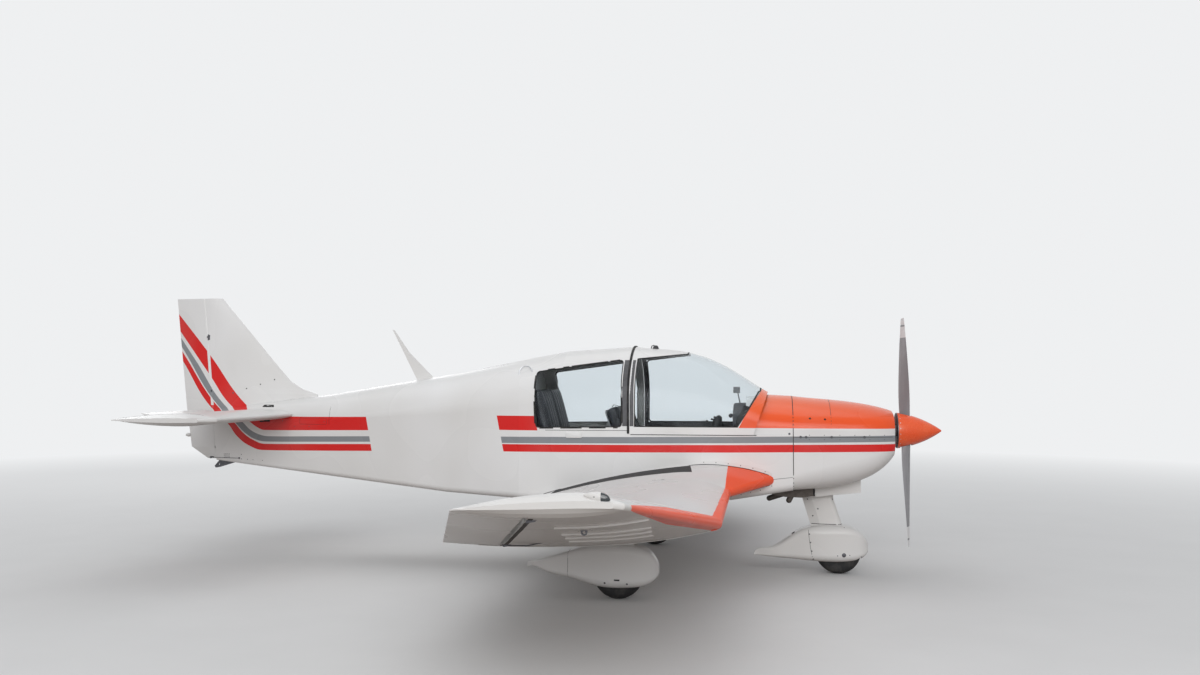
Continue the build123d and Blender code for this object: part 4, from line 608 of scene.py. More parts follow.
def landing(node, start, way):
    """Place and outward direction where a ray meets a solid, or None."""
    if node not in skins:
        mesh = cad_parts[node].data
        skins[node] = BVHTree.FromPolygons([v.co[:] for v in mesh.vertices],
                                           [p.vertices[:] for p in mesh.polygons])
    way = Vector(way).normalized()
    place, normal, _, _ = skins[node].ray_cast(Vector(start), way)
    if place is None:
        return None
    return place, (normal if normal.dot(way) < 0 else -normal)


def on_side(node, x, z, side, start=6.0):
    """Place on a solid's side: side is -1 for the right, 1 for the left."""
    return landing(node, (x, side * start, z), (0, -side, 0))


def on_top(node, x, y):
    return landing(node, (x, y, 4.0), -Z)


def on_under(node, x, y):
    return landing(node, (x, y, -1.0), Z)


def ringed(node, middle, reach, ways):
    """Places where rays meet a solid from all round, towards its middle."""
    hits = [landing(node, Vector(middle) + way * reach, -way) for way in ways]
    return [h for h in hits if h]


def around(node, x, start, stop, count, middle=1.15):
    """Places round a section of the fuselage or cowling, by angle from straight down."""
    turns = map(math.radians, steps(start, stop, count))
    return ringed(node, (x, 0, middle), 2.5, [Vector((0, math.sin(a), -math.cos(a))) for a in turns])


def outermost(nodes, x, z, side):
    """The place that lies furthest from the centre line among several solids."""
    hits = [h for h in (on_side(node, x, z, side) for node in nodes) if h]
    return max(hits, key=lambda h: abs(h[0].y) + h[0].z * 0.2) if hits else None


# %% Gathering shapes in one mesh
SUNK = 0.002              # how deep a small part starts below the skin


def square_to(way):
    """Two directions square to a given one and to each other."""
    side = way.cross(Z if abs(way.z) < 0.9 else X).normalized()
    return side, way.cross(side).normalized()


class Stock:
    """A mesh that many small shapes are added to, before it becomes one piece."""

    def __init__(self):
        self.bm = bmesh.new()

    def rings(self, rings, capped=True, closed=False):
        """Skin over a row of rings with equally many points."""
        made = [[self.bm.verts.new(p) for p in ring] for ring in rings]
        for a, b in list(zip(made, made[1:])) + ([(made[-1], made[0])] if closed else []):
            for k in range(len(a)):
                n = (k + 1) % len(a)
                self.bm.faces.new((a[k], a[n], b[n], b[k]))
        if capped and not closed:
            self.bm.faces.new(list(reversed(made[0])))
            self.bm.faces.new(made[-1])

    def bar(self, points, radius, sides=12, closed=False, squash=1.0):
        """Round bar along a row of points; radius may be a list, one for each point."""
        points = [Vector(p) for p in points]
        radii = radius if isinstance(radius, list) else [radius] * len(points)
        last, side, rings = len(points) - 1, None, []
        for k, point in enumerate(points):
            ahead = points[(k + 1) % len(points)] if closed or k < last else point
            back = points[k - 1] if closed or k > 0 else point
            way = (ahead - back).normalized()
            side = side or square_to(way)[0]
            side = (side - way * side.dot(way)).normalized()
            rings.append([point + d * radii[k] for d in circle(sides, side, way.cross(side) * squash)])
        self.rings(rings, closed=closed)

    def turned(self, origin, axis, profile, sides=32):
        """Turned part: profile is a row of (along the axis, radius)."""
        origin, axis = Vector(origin), Vector(axis).normalized()
        ways = circle(sides, *square_to(axis))
        self.rings([[origin + axis * a + way * max(r, 0.00005) for way in ways] for a, r in profile])

    def stud(self, spot, profile, sides, sunk=SUNK):
        """Turned part that stands on the skin, where a ray landed."""
        if spot:
            self.turned(spot[0] - spot[1] * sunk, spot[1], profile, sides)

    def screw(self, spot, radius, height, proud=0.0, move=None, dished=True):
        """Screw head, a low dome with a dished middle, on something that stands proud of the skin."""
        if spot:
            place = spot[0] + spot[1] * proud + (move or Vector())
            top = SUNK + height
            self.stud((place, spot[1]), [(0.0, radius), (SUNK + height * 0.5, radius), (top, radius * 0.72),
                                         (SUNK + height * 0.55 if dished else top, radius * 0.34)], 10)

    def slab(self, corners, thick):
        """Flat plate through corners, thickened by a vector."""
        corners, thick = [Vector(c) for c in corners], Vector(thick)
        self.rings([corners, [c + thick for c in corners]])

    def tag(self, spot, corners, thick, proud=0.0):
        """Small plate on a side of the skin: corners are (x, z) from the place, or half sizes in x and z."""
        if isinstance(corners[0], float):
            half_x, half_z = corners
            corners = ((-half_x, -half_z), (half_x, -half_z), (half_x, half_z), (-half_x, half_z))
        if spot:
            place, outward = spot
            self.slab([place + X * x + Z * z + outward * proud for x, z in corners], outward * thick)

    def ribbon(self, spots, width, height=0.0006, sink=0.002, closed=False, across=None):
        """Flat strip along (place, outward) spots on a surface."""
        spots = [s for s in spots if s]
        last, rings = len(spots) - 1, []
        for k, (place, outward) in enumerate(spots):
            ahead = spots[(k + 1) % len(spots)][0] if closed or k < last else place
            back = spots[k - 1][0] if closed or k > 0 else place
            half = (across or outward.cross((ahead - back).normalized())).normalized() * (width / 2)
            rings.append([place - half - outward * sink, place - half + outward * height,
                          place + half + outward * height, place + half - outward * sink])
        self.rings(rings, closed=closed)

    def block(self, low, high):
        """Box between two corners."""
        (x0, y0, z0), (x1, y1, z1) = low, high
        self.slab([(x0, y0, z0), (x1, y0, z0), (x1, y1, z0), (x0, y1, z0)], (0, 0, z1 - z0))

    def piece(self, name, finish, body="airframe", bevel=0.0, smooth_under=38.0, replaces=()):
        """Ends the gathering: one piece that rides on a body, or, if body is a tuple, stays where it was made."""
        bmesh.ops.recalc_face_normals(self.bm, faces=self.bm.faces)
        mesh = bpy.data.meshes.new(name)
        self.bm.to_mesh(mesh)
        self.bm.free()
        mesh.materials.append(finish)
        mesh.polygons.foreach_set("use_smooth", [True] * len(mesh.polygons))
        mesh.set_sharp_from_angle(angle=math.radians(smooth_under))
        obj = add(name, mesh)
        if bevel:
            edge = obj.modifiers.new("edge", "BEVEL")
            edge.width = bevel
            edge.segments = 2
            edge.limit_method = "ANGLE"
            edge.angle_limit = math.radians(40)
        if isinstance(body, tuple):
            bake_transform(obj)
        else:
            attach(obj, body)
        if replaces:
            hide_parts(*replaces)
        print(name, "faces", len(mesh.polygons))


def stocks(count):
    return [Stock() for _ in range(count)]


def rounded(corners, radius, count=5):
    """Outline of (a, b) corners with rounded corners, each of that many steps."""
    corners, out = [Vector(c) for c in corners], []
    for k, p in enumerate(corners):
        a, b = corners[k - 1] - p, corners[(k + 1) % len(corners)] - p
        r = min(radius, a.length * 0.45, b.length * 0.45)
        start, end = p + a.normalized() * r, p + b.normalized() * r
        out += [start * (1 - t) ** 2 + p * 2 * t * (1 - t) + end * t ** 2 for t in steps(0, 1, count + 1)]
    return out


def rectangle(a0, a1, b0, b1):
    return [(a0, b0), (a1, b0), (a1, b1), (a0, b1)]


def filled(outline, spacing):
    """Outline with points added so that none is further than a spacing from the next."""
    out = []
    for k, p in enumerate(outline):
        q = outline[(k + 1) % len(outline)]
        count = max(1, int((q - p).length / spacing))
        out += [p + (q - p) * (j / count) for j in range(count)]
    return out


print("tools ready")

# %% [markdown]
# ## Seams in the bodywork
# Metal and moulded panels never quite meet: a dark line shows where each one ends. A seam could be cut into
# the solid, but at two millimetres wide a thin dark strip on the surface looks the same and costs far less.

# %% Panel seams and the painted shadow under the canopy rail
FIREWALL_X, COWL_SPLIT_Z = 2.2535, 1.172
HATCH = rectangle(-2.147, -1.871, 1.236, 1.292)

seams = Stock()
NOSE_ARCS = (("cowl_upper", -180, -93.75, 24), ("cowl_lower", -90, 90, 49), ("cowl_upper", 93.75, 180, 24))
ring = [h for node, *arc in NOSE_ARCS for h in around(node, FIREWALL_X + 0.003, *arc) if h[0].z > 0.70]
seams.ribbon(ring, 0.006, across=X)
for side in (-1, 1):
    seams.ribbon([on_side("cowl_upper", x, COWL_SPLIT_Z + 0.002, side) for x in steps(2.258, 3.060, 28)],
                 0.0032, across=Z)
    seams.ribbon([on_side("fuselage", x, 0.83 + (x - 2.10) * 0.11, side) for x in steps(2.09, 2.25, 6)],
                 0.003)
seams.ribbon([h for h in around("cowl_upper", 2.563, 100, 260, 40, 1.20) if h[0].z > 1.25], 0.003, across=X)
for side in (-1, 1):
    spots = [on_side("fuselage", -1.845, z, side) for z in steps(1.235, 1.395, 8)]
    if side > 0:
        spots += [h for h in around("fuselage", -1.845, 90, 178, 14, 1.20) if h[0].z > 1.40]
    seams.ribbon(spots, 0.0022, across=X)
    seams.ribbon([on_side("fuselage", *p, side) for p in filled(rounded(HATCH, 0.012), 0.03)], 0.0018,
                 closed=True)
    # A dark strip on the fuselage side right under the canopy's rail, from x 0.93 to 1.96: painted shadow of the
    # rail.
    seams.ribbon([on_side("fuselage", x, 1.1865, side) for x in steps(0.93, 1.96, 40)], 0.0055, height=0.0010,
                 across=Z)
seams.piece("panel_seams", seal_rubber)

# %% [markdown]
# ## Seals round the glass
# A rubber channel holds each pane. It could be swept along the pane's drawn edge, but that edge isn't in the
# frame. So its rounded outline is written once in the side view and laid on the skin point by point.

# %% Window seals
REAR_WINDOW = [(0.8585, 1.246), (0.8515, 1.812), (0.0985, 1.713), (0.1175, 1.236)]
FRONT_GLASS = [(1.990, 1.557), (1.8085, 1.252), (0.960, 1.252), (0.964, 1.820), (1.374, 1.862)]

seals = Stock()
for side, name in SIDES:
    seals.ribbon([outermost(("fuselage", "rear_window_" + name), *p, side)
                  for p in filled(rounded(REAR_WINDOW, 0.045, 7), 0.04)], 0.016, height=0.0022, closed=True)
seals.piece("rear_window_seals", seal_rubber)

canopy_seal, loop = Stock(), []
for side in (-1, 1):
    line = []
    for a, b in zip(FRONT_GLASS, FRONT_GLASS[1:]):
        a, b = Vector(a), Vector(b)
        count = max(2, int((b - a).length / 0.04))
        line += [on_side("canopy_glass", *(a + (b - a) * (j + 0.5) / count), side) for j in range(count)]
    line = [s for s in line if s]
    loop += line[::-side]
    if side < 0:
        reach = abs(line[-1][0].y) * 0.95
        loop += [on_top("canopy_glass", 1.376, y) for y in steps(-reach, reach, 16)]
loop += [on_top("canopy_glass", 1.996, y) for y in steps(0.30, -0.30, 12)]
canopy_seal.ribbon(loop, 0.013, height=0.0018, closed=True)
canopy_seal.piece("canopy_glass_seal", seal_rubber, body="canopy")

# %% [markdown]
# ## The arch between the canopy and the fixed roof
# The sliding canopy closes against a rubber arch. Dark riveted frames show on both sides of it. The rubber
# belongs to the fixed roof, so it stays there when the canopy slides forward.

# %% Rubber arch, frame strips and their rivets
ARCH_X = 0.9095
STRIPS = (("fixed_frame_strips", "fuselage", "airframe", 0.8605, 0.9010),         # name, on, body, x from, to
          ("canopy_frame_strips", "canopy_frame", "canopy", 0.9235, 0.9550))

arch = Stock()
hits = [on_side("fuselage", ARCH_X, z, -1) for z in steps(1.195, 1.44, 8)]
hits += [h for h in around("fuselage", ARCH_X, -118, -242, 44, 1.25) if h[0].z > 1.46]
hits += [on_side("fuselage", ARCH_X, z, 1) for z in steps(1.44, 1.195, 8)]
arch.ribbon(hits, 0.017, height=0.010, across=X)
arch.piece("arch_rubber", seal_rubber, bevel=0.003)
for name, node, body, x0, x1 in STRIPS:
    strips = Stock()
    for side in (-1, 1):
        strips.ribbon([on_side(node, (x0 + x1) / 2, z, side) for z in steps(1.256, 1.806, 24)], x1 - x0,
                      height=0.0016, across=X)
        for z in steps(1.285, 1.78, 9):
            strips.screw(on_side(node, (x0 + x1) / 2, z, side), 0.0042, 0.0014, proud=0.0016, dished=False)
    strips.piece(name, frame_grey, body=body)

# %% [markdown]
# ## Latches, handles and screws on the side
# Cam latches hold the cowling halves, a small box covers the canopy's lock, and a bent rod behind the
# window is the grab handle for climbing in. These are turned or bent shapes, each a few millimetres proud.

# %% Cowling latches and small openings
LATCH = [(0, 0.0105), (0.0035, 0.0105), (0.0045, 0.0085), (0.0030, 0.0070), (0.0030, 0.002)]
DRAIN = [(0, 0.0095), (0.0036, 0.0095), (0.0038, 0.0075), (0.0032, 0.0060), (0.0030, 0.001)]

fasteners, drains = stocks(2)
for side in (-1, 1):
    for x in (2.315, 2.359, 2.564, 2.827):
        spot = on_side("cowl_upper", x, COWL_SPLIT_Z + 0.003, side)
        fasteners.stud(spot, LATCH, 20)
        fasteners.tag(spot, (0.007, 0.0012), 0.0022, proud=0.0026)
    fasteners.stud(on_side("fuselage", 2.225, 1.200, side), [(0, 0.009), (0.0032, 0.009), (0.004, 0.006),
                                                             (0.003, 0.003)], 18)
    for x in (2.385, 2.505, 2.63, 2.75, 2.87, 2.99):
        for node, dz in (("cowl_lower", -0.018), ("cowl_upper", 0.018)):
            fasteners.screw(on_side(node, x, COWL_SPLIT_Z + dz, side), 0.0035, 0.0008)
    for x, z in ((2.392, 1.325), (2.513, 1.318)):
        drains.stud(on_side("cowl_upper", x, z, side), DRAIN, 20, sunk=0.003)
fasteners.piece("cowl_latches", dark_steel, smooth_under=50)
drains.piece("cowl_drain_holes", seal_rubber)

# %% Grab handle, lock box, rail edge and roof aerial
HANDLE = ((-0.066, 1.680, -0.01), (-0.062, 1.702, 0.012), (-0.045, 1.722, 0.026), (-0.010, 1.734, 0.030),
          (0.025, 1.732, 0.028), (0.050, 1.718, 0.014), (0.056, 1.702, -0.01))     # x, z, off the skin
LOCK_FACE = rounded(rectangle(0.383, 0.519, 1.155, 1.203), 0.010, 4)
LOCK_MIDDLE = Vector((0.451, 0, 1.179))
PUCK = [(0, 0.030), (0.006, 0.030), (0.010, 0.026), (0.022, 0.022), (0.030, 0.016), (0.034, 0.008)]
LOCK_LAYERS = ((-0.004, 1.0), (0.007, 1.0), (0.0095, 0.96), (0.0105, 0.88))       # off the skin, share

handle, lock, rail_line, puck = stocks(4)
for side in (-1, 1):
    path = [(on_side("fuselage", x, z, side), proud) for x, z, proud in HANDLE]
    handle.bar([place + outward * proud for (place, outward), proud in path], 0.0055, 10)
    base = [on_side("fuselage", *p, side)[0] for p in LOCK_FACE]
    lock.rings([[Vector((LOCK_MIDDLE.x + (b.x - LOCK_MIDDLE.x) * share, b.y + side * off,
                         LOCK_MIDDLE.z + (b.z - LOCK_MIDDLE.z) * share)) for b in base]
                for off, share in LOCK_LAYERS])
    rail = [on_side("fuselage", x, 1.217 + (x - 0.2) * 0.004, side) for x in steps(0.205, 0.905, 24)]
    rail_line.ribbon(rail, 0.0035, height=0.0012)
handle.piece("grab_handles", bare_alloy)
lock.piece("canopy_lock_boxes", plain_paint)
rail_line.piece("rail_edges", seal_rubber)

spot = on_top("canopy_frame", 1.085, -0.02)
puck.stud(spot, PUCK, 28, sunk=0.004)
puck.bar([spot[0] + Vector(p) for p in ((0, 0, 0.020), (-0.018, 0, 0.030), (-0.034, 0, 0.024),
                                        (-0.040, 0, 0.004))], 0.0045, 10)
puck.piece("roof_aerial", black_plastic, body="canopy")

# %% [markdown]
# ## Padded seats
# Each seat is foam under stretched leather: the faces crown, the sides pull in between the corners, and the
# sewn channels stay low while the foam between them swells. A smooth block would look like a toy. So each pad
# starts as a rounded lattice, a cloth simulation blows it up a little with the channels pinned, and a welt
# cord is laid along the edge that the simulation gave.

# %% A rounded lattice for a pad
EDGE_RADIUS, SIDE_PULL, CROWN = 0.030, 0.010, 0.016


def lattice(counts, halves):
    """Points on a rounded box by lattice place, and the faces between them, in the pad's own directions."""
    points, faces = {}, []
    for spot in ((i, j, k) for i in range(counts[0] + 1) for j in range(counts[1] + 1)
                 for k in range(counts[2] + 1)):
        if all(0 < s < n for s, n in zip(spot, counts)):
            continue
        share = [2 * s / n - 1 for s, n in zip(spot, counts)]
        p = Vector([c * h for c, h in zip(share, halves)])
        core = Vector([max(-(h - EDGE_RADIUS), min(h - EDGE_RADIUS, c)) for c, h in zip(p, halves)])
        off = p - core
        p = core + (off.normalized() * EDGE_RADIUS if off.length else off)
        p.x *= 1 - SIDE_PULL / halves[0] * (1 - share[1] ** 2)
        p.y *= 1 - SIDE_PULL / halves[1] * (1 - share[0] ** 2)
        if share[2] > 0:
            p.z += CROWN * (1 - share[0] ** 4) * (1 - share[1] ** 4) * share[2]
        points[spot] = p
    for axis, level in ((axis, level) for axis in range(3) for level in (0, counts[axis])):
        a, b = [n for n in range(3) if n != axis]
        for s in range(counts[a]):
            for t in range(counts[b]):
                face = []
                for ds, dt in ((0, 0), (1, 0), (1, 1), (0, 1)):
                    spot = [level] * 3
                    spot[a], spot[b] = s + ds, t + dt
                    face.append(tuple(spot))
                faces.append(face)
    return points, faces


# %% Swelling a pad under pressure
PAD_SPACING = 0.0125
PRESSURE, SWELL_STEPS, SWELL_CAP = 4.0, 20, 0.016
CHANNEL_DEPTH = 0.010
STITCH_APART, STITCH_RADIUS, WELT_RADIUS = 0.0035, 0.0006, 0.0040


def swell(obj, held):
    """Blows a mesh up with the held vertices pinned, then keeps that shape, each step capped."""
    obj.vertex_groups.new(name="held").add(held, 1.0, "REPLACE")
    cloth = obj.modifiers.new("swell", "CLOTH")
    cloth.settings.vertex_group_mass = "held"
    cloth.settings.use_pressure = True
    cloth.settings.uniform_pressure_force = PRESSURE
    cloth.settings.effector_weights.gravity = 0
    cloth.settings.quality = 6
    for step in range(1, SWELL_STEPS + 1):
        scene.frame_set(step)
    shown = obj.evaluated_get(bpy.context.evaluated_depsgraph_get()).data
    moved = [v.co.copy() for v in shown.vertices]
    obj.modifiers.remove(cloth)
    scene.frame_set(1)
    for vertex, place in zip(obj.data.vertices, moved):
        step = place - vertex.co
        vertex.co += step * min(1.0, SWELL_CAP / max(step.length, 1e-6))


def pad(kind, middle, along, size, channels, stands_for=None):
    """A sewn pad and its mirror image: along is its long way, size its length, width and thickness."""
    along = Vector(along).normalized()
    out = along.cross(Y).normalized()
    out = out if (out.x + out.z) > 0 else -out
    counts = [max(4, round(s / PAD_SPACING)) for s in size]
    points, faces = lattice(counts, [s / 2 for s in size])
    lines = sorted({round((c + 1) / 2 * counts[1]) for c in channels})
    order = {spot: n for n, spot in enumerate(points)}
    held = []
    for spot, p in points.items():
        sewn = spot[2] == counts[2] and spot[1] in lines and min(spot[0], counts[0] - spot[0]) > 1
        if sewn:
            p.z -= CHANNEL_DEPTH
        if sewn or spot[2] == 0:
            held.append(order[spot])
    mesh = bpy.data.meshes.new(kind + "_left")
    mesh.from_pydata([Vector(middle) + along * p.x + Y * p.y + out * p.z for p in points.values()], [],
                     [[order[spot] for spot in face] for face in faces])
    shape = bmesh.new()
    shape.from_mesh(mesh)
    bmesh.ops.recalc_face_normals(shape, faces=shape.faces)
    shape.to_mesh(mesh)
    shape.free()
    mesh.materials.append(seat_hide)
    left = add(kind + "_left", mesh)
    swell(left, held)
    right = add(kind + "_right", mesh.copy())
    for vertex in right.data.vertices:
        vertex.co.y = -vertex.co.y
    right.data.flip_normals()

    def places(spots):
        return [left.data.vertices[order[spot]].co.copy() for spot in spots]
    long, wide, level = counts[0], counts[1], counts[2] - 2
    rim = [(i, 0) for i in range(long)] + [(long, j) for j in range(wide)]
    rim += [(i, wide) for i in range(long, 0, -1)] + [(0, j) for j in range(wide, 0, -1)]
    welt = places([(i, j, level) for i, j in rim])
    sewn_rows = [places([(i, line, counts[2]) for i in range(2, long - 1)]) for line in lines]
    for piece, side, mirror in ((left, "left", 1), (right, "right", -1)):
        piece.vertex_groups.clear()
        piece.data.polygons.foreach_set("use_smooth", [True] * len(piece.data.polygons))
        soft = piece.modifiers.new("smooth", "SUBSURF")
        soft.levels = soft.render_levels = 1
        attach(piece, "airframe")
        if stands_for:
            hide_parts(stands_for.format(side))
        turn = Vector((1, mirror, 1))
        trim = Stock()
        trim.bar([p * turn for p in welt], WELT_RADIUS, 8, closed=True)
        for row in sewn_rows:
            for a, b in zip(row, row[1:]):
                step = (b - a) * 0.22
                for shift in (-STITCH_APART, STITCH_APART):
                    move = Y * shift + out * 0.0012
                    trim.bar([(a + move + step) * turn, (b + move - step) * turn], STITCH_RADIUS, 5)
        trim.piece(kind + "_" + side + "_welt", welt_hide)
    print(kind, "vertices", len(mesh.vertices))


pad("seat_cushion", (1.150, 0.25, 0.940), (-1, 0, -0.05), (0.485, 0.425, 0.105), (-0.52, 0.52), "seat_{}")
pad("seat_back", (0.822, 0.25, 1.205), (-0.287, 0, 0.958), (0.425, 0.425, 0.100),
    (-0.62, -0.31, 0.0, 0.31, 0.62))
pad("bench_cushion", (0.385, 0.2225, 0.935), (-1, 0, -0.05), (0.345, 0.435, 0.115), (-0.5, 0.0, 0.5),
    "rear_bench")
pad("bench_back", (0.160, 0.2225, 1.275), (-0.248, 0, 0.969), (0.570, 0.435, 0.095), (-0.6, -0.2, 0.2, 0.6))

# %% [markdown]
# ## What the pads rest on
# Foam needs a shell. Behind each front back there is a moulded board, and the bench sits on a carpeted box
# with the belts' ends bolted beside it. These are bent plates with rounded edges.

# %% Seat shells, bench box and belts
# Each board from one (x, z) to another, and its thickness
BOARDS = (((0.857, 0.915), (0.707, 1.385), 0.012), ((0.905, 0.888), (1.395, 0.888), 0.010))

shells, box, belts, buckles = stocks(4)
for side in (-1, 1):
    for low, high, thick in BOARDS:
        a, b = Vector((low[0], 0, low[1])), Vector((high[0], 0, high[1]))
        way = (b - a).normalized()
        out = Vector((-way.z, 0, way.x)) if way.z > 0.5 else -Z
        ring = rounded(rectangle(0, (b - a).length, *sorted((side * 0.045, side * 0.455))), 0.05)
        shells.slab([a + way * p[0] + Y * p[1] for p in ring], out * thick)
shells.piece("seat_shells", grey_plastic, bevel=0.003)
box.block((0.175, -0.440, 0.7365), (0.552, 0.440, 0.872))
box.block((0.045, -0.440, 0.7365), (0.172, 0.440, 0.985))
box.piece("bench_box", carpet, bevel=0.012)


def strap(side, points, across=X):
    """Flat webbing along points of the left side, lying square to the across direction."""
    points = [Vector((x, side * y, z)) for x, y, z in points]
    spots = []
    for k, p in enumerate(points):
        way = (points[min(k + 1, len(points) - 1)] - points[max(k - 1, 0)]).normalized()
        spots.append((p, way.cross(across).normalized()))
    belts.ribbon(spots, 0.046, height=0.0008, sink=0.0008, across=across)


for side in (-1, 1):
    strap(side, [(0.965, 0.455, 0.955), (1.010, 0.44, 1.020), (1.070, 0.36, 1.034), (1.085, 0.25, 1.036),
                 (1.070, 0.14, 1.034), (1.010, 0.07, 1.020), (0.965, 0.055, 0.955)])
    strap(side, [(0.735, 0.29, 1.405), (0.752, 0.29, 1.428), (0.800, 0.285, 1.412), (0.893, 0.28, 1.250),
                 (0.960, 0.265, 1.062), (1.065, 0.24, 1.041)], across=Y)
    strap(side, [(0.250, 0.43, 1.000), (0.300, 0.40, 1.018), (0.335, 0.30, 1.023), (0.345, 0.22, 1.024),
                 (0.335, 0.14, 1.023), (0.300, 0.05, 1.016), (0.250, 0.025, 0.995)])
    buckles.block((1.055, side * 0.235 - 0.030, 1.038), (1.115, side * 0.235 + 0.030, 1.054))
    buckles.block((0.315, side * 0.22 - 0.028, 1.026), (0.372, side * 0.22 + 0.028, 1.041))
belts.piece("seat_belts", webbing)
buckles.piece("belt_buckles", bare_alloy, bevel=0.004)

# %% [markdown]
# ## Instrument panel
# Round dials stand in the same places on every panel: six flight dials before the left seat, engine dials
# beside them, and radios in a stack in the middle. Each dial is turned like a real bezel, with a dark face,
# ticks and a needle. A padded hood above keeps the sun off.

# %% Dials, radios, switches and knobs
PANEL_X = 1.8770
FLIGHT_RADIUS, ENGINE_RADIUS = 0.041, 0.027
ENGINE_DIALS = ((-0.255, 1.330), (-0.320, 1.330), (-0.255, 1.265), (-0.320, 1.265), (-0.385, 1.290),
                (0.075, 1.395))
DIALS = [(y, z, FLIGHT_RADIUS) for z in (1.355, 1.262) for y in (0.345, 0.248, 0.151)]
DIALS += [(y, z, ENGINE_RADIUS) for y, z in ENGINE_DIALS]
KNOB = [(0, 0.006), (0.003, 0.014), (0.010, 0.0175), (0.020, 0.0165), (0.025, 0.011), (0.026, 0.004)]
RADIO_KNOB = [(0, 0.0085), (0.010, 0.0082), (0.012, 0.007), (0.012, 0.005), (0.022, 0.0046), (0.023, 0.003)]


def clock(degrees):
    """Directions outward and across at an angle on a dial's face."""
    a = math.radians(degrees)
    return Vector((0, math.sin(a), math.cos(a))), Vector((0, math.cos(a), -math.sin(a)))


bezels, faces, marks = stocks(3)
for number, (y, z, radius) in enumerate(DIALS):
    centre = Vector((PANEL_X, y, z))
    bezels.turned(centre + X * 0.002, -X, [(0, radius), (0.009, radius), (0.011, radius * 0.94),
                                           (0.006, radius * 0.86), (0.0025, radius * 0.85)], 40)
    faces.turned(centre + X * 0.001, -X, [(0, radius * 0.86), (0.0025, radius * 0.86)], 40)
    for tick in range(24):
        spoke, across = clock(15 * tick)
        half, inner = (0.0011, 0.62) if tick % 3 == 0 else (0.0006, 0.70)
        near, far = (centre - X * 0.0016 + spoke * radius * share for share in (inner, 0.80))
        across *= half
        marks.slab([near - across, far - across, far + across, near + across], -X * 0.0004)
    spoke, across = clock(40 + 67 * number)
    hub, tail = centre - X * 0.0022, spoke * radius * 0.2
    marks.slab([hub - across * 0.0022 - tail, hub + spoke * radius * 0.66, hub + across * 0.0022 - tail],
               -X * 0.0006)
    for corner in (45, 135, 225, 315):
        bezels.screw((centre + clock(corner)[0] * radius * 1.18, -X), 0.0028, 0.0010)
bezels.piece("dial_bezels", black_plastic, smooth_under=50)
faces.piece("dial_faces", dial_face)
marks.piece("dial_marks", dial_white)

radios, screens, switches, knobs = stocks(4)
for z in (1.372, 1.322, 1.272, 1.222):
    radios.block((PANEL_X - 0.012, -0.200, z - 0.022), (PANEL_X + 0.002, -0.035, z + 0.022))
    screens.block((PANEL_X - 0.0128, -0.165, z - 0.004), (PANEL_X - 0.011, -0.070, z + 0.016))
    for y in (-0.188, -0.047):
        radios.turned((PANEL_X - 0.011, y, z - 0.008), -X, RADIO_KNOB, 20)
    for y in steps(-0.160, -0.076, 5):
        radios.block((PANEL_X - 0.0145, y, z - 0.018), (PANEL_X - 0.011, y + 0.012, z - 0.010))
radios.piece("radio_stack", panel_black, bevel=0.0012)
screens.piece("radio_displays", amber)

for k, y in enumerate(steps(0.375, 0.135, 9)):
    place = Vector((PANEL_X, y, 1.180))
    switches.turned(place + X * 0.002, -X, [(0, 0.0065), (0.004, 0.0065), (0.005, 0.005)], 16)
    switches.bar([place, place + Vector((-0.020, 0, 0.008 if k % 3 else -0.008))], [0.0018, 0.0032], 10)
for y in (-0.060, -0.115, -0.170):
    place = Vector((PANEL_X, y, 1.165))
    switches.turned(place + X * 0.002, -X, [(0, 0.012), (0.007, 0.011), (0.007, 0.006)], 20)
    switches.bar([place, place - X * 0.052], 0.0042, 12)
    knobs.turned(place - X * 0.050, -X, KNOB, 28)
stalk = [(PANEL_X, -0.330, 1.215), (PANEL_X - 0.060, -0.335, 1.265), (PANEL_X - 0.100, -0.335, 1.300),
         (PANEL_X - 0.118, -0.335, 1.330)]
switches.bar(stalk, 0.0038, 10)
knobs.turned(stalk[-1], (-0.7, 0, 0.7), [(0, 0.006), (0.004, 0.016), (0.014, 0.019), (0.026, 0.017),
                                         (0.032, 0.010)], 28)
switches.piece("panel_switches", bare_alloy)
knobs.piece("panel_knobs", black_plastic)

# %% The hood over the panel and the compass on it
HOOD = ((1.769, 0.016), (1.765, 0.006), (1.773, 0.0), (1.803, -0.002), (1.905, -0.004))     # x, drop
CHEEK = ((1.786, 1.200), (1.900, 1.200), (1.902, 1.420), (1.860, 1.432), (1.800, 1.330))
COMPASS = Vector((1.790, -0.020, 1.552))

hood, cheeks, compass, compass_card = stocks(4)
rows = [[Vector((x, y, 1.440 - drop - 0.62 * y * y - 0.05 * max(0, abs(y) - 0.36) / 0.06))
         for y in steps(-0.42, 0.42, 41)] for x, drop in HOOD]
hood.rings([row + [p + Vector((0.004, 0, -0.012)) for p in reversed(row)] for row in rows])
hood.piece("panel_hood", seat_hide, bevel=0.002, smooth_under=60)
for side in (-1, 1):
    y0, y1 = sorted((side * 0.448, side * 0.462))
    cheeks.slab([(x, y0, z) for x, z in CHEEK], (0, y1 - y0, 0))
cheeks.piece("panel_cheeks", panel_black, bevel=0.004)
compass.block(COMPASS + Vector((-0.028, -0.032, -0.026)), COMPASS + Vector((0.028, 0.032, 0.028)))
compass.slab([COMPASS + Vector((x, -0.014, z)) for x, z in ((0.004, -0.020), (0.012, -0.020), (0.036, -0.122),
                                                            (0.024, -0.122))], (0, 0.028, 0))
compass.piece("compass", grey_plastic, bevel=0.008)
compass_card.turned(COMPASS - X * 0.0275, -X, [(0, 0.022), (0.002, 0.022), (0.003, 0.019), (0.001, 0.017)])
compass_card.piece("compass_bezel", bare_alloy)

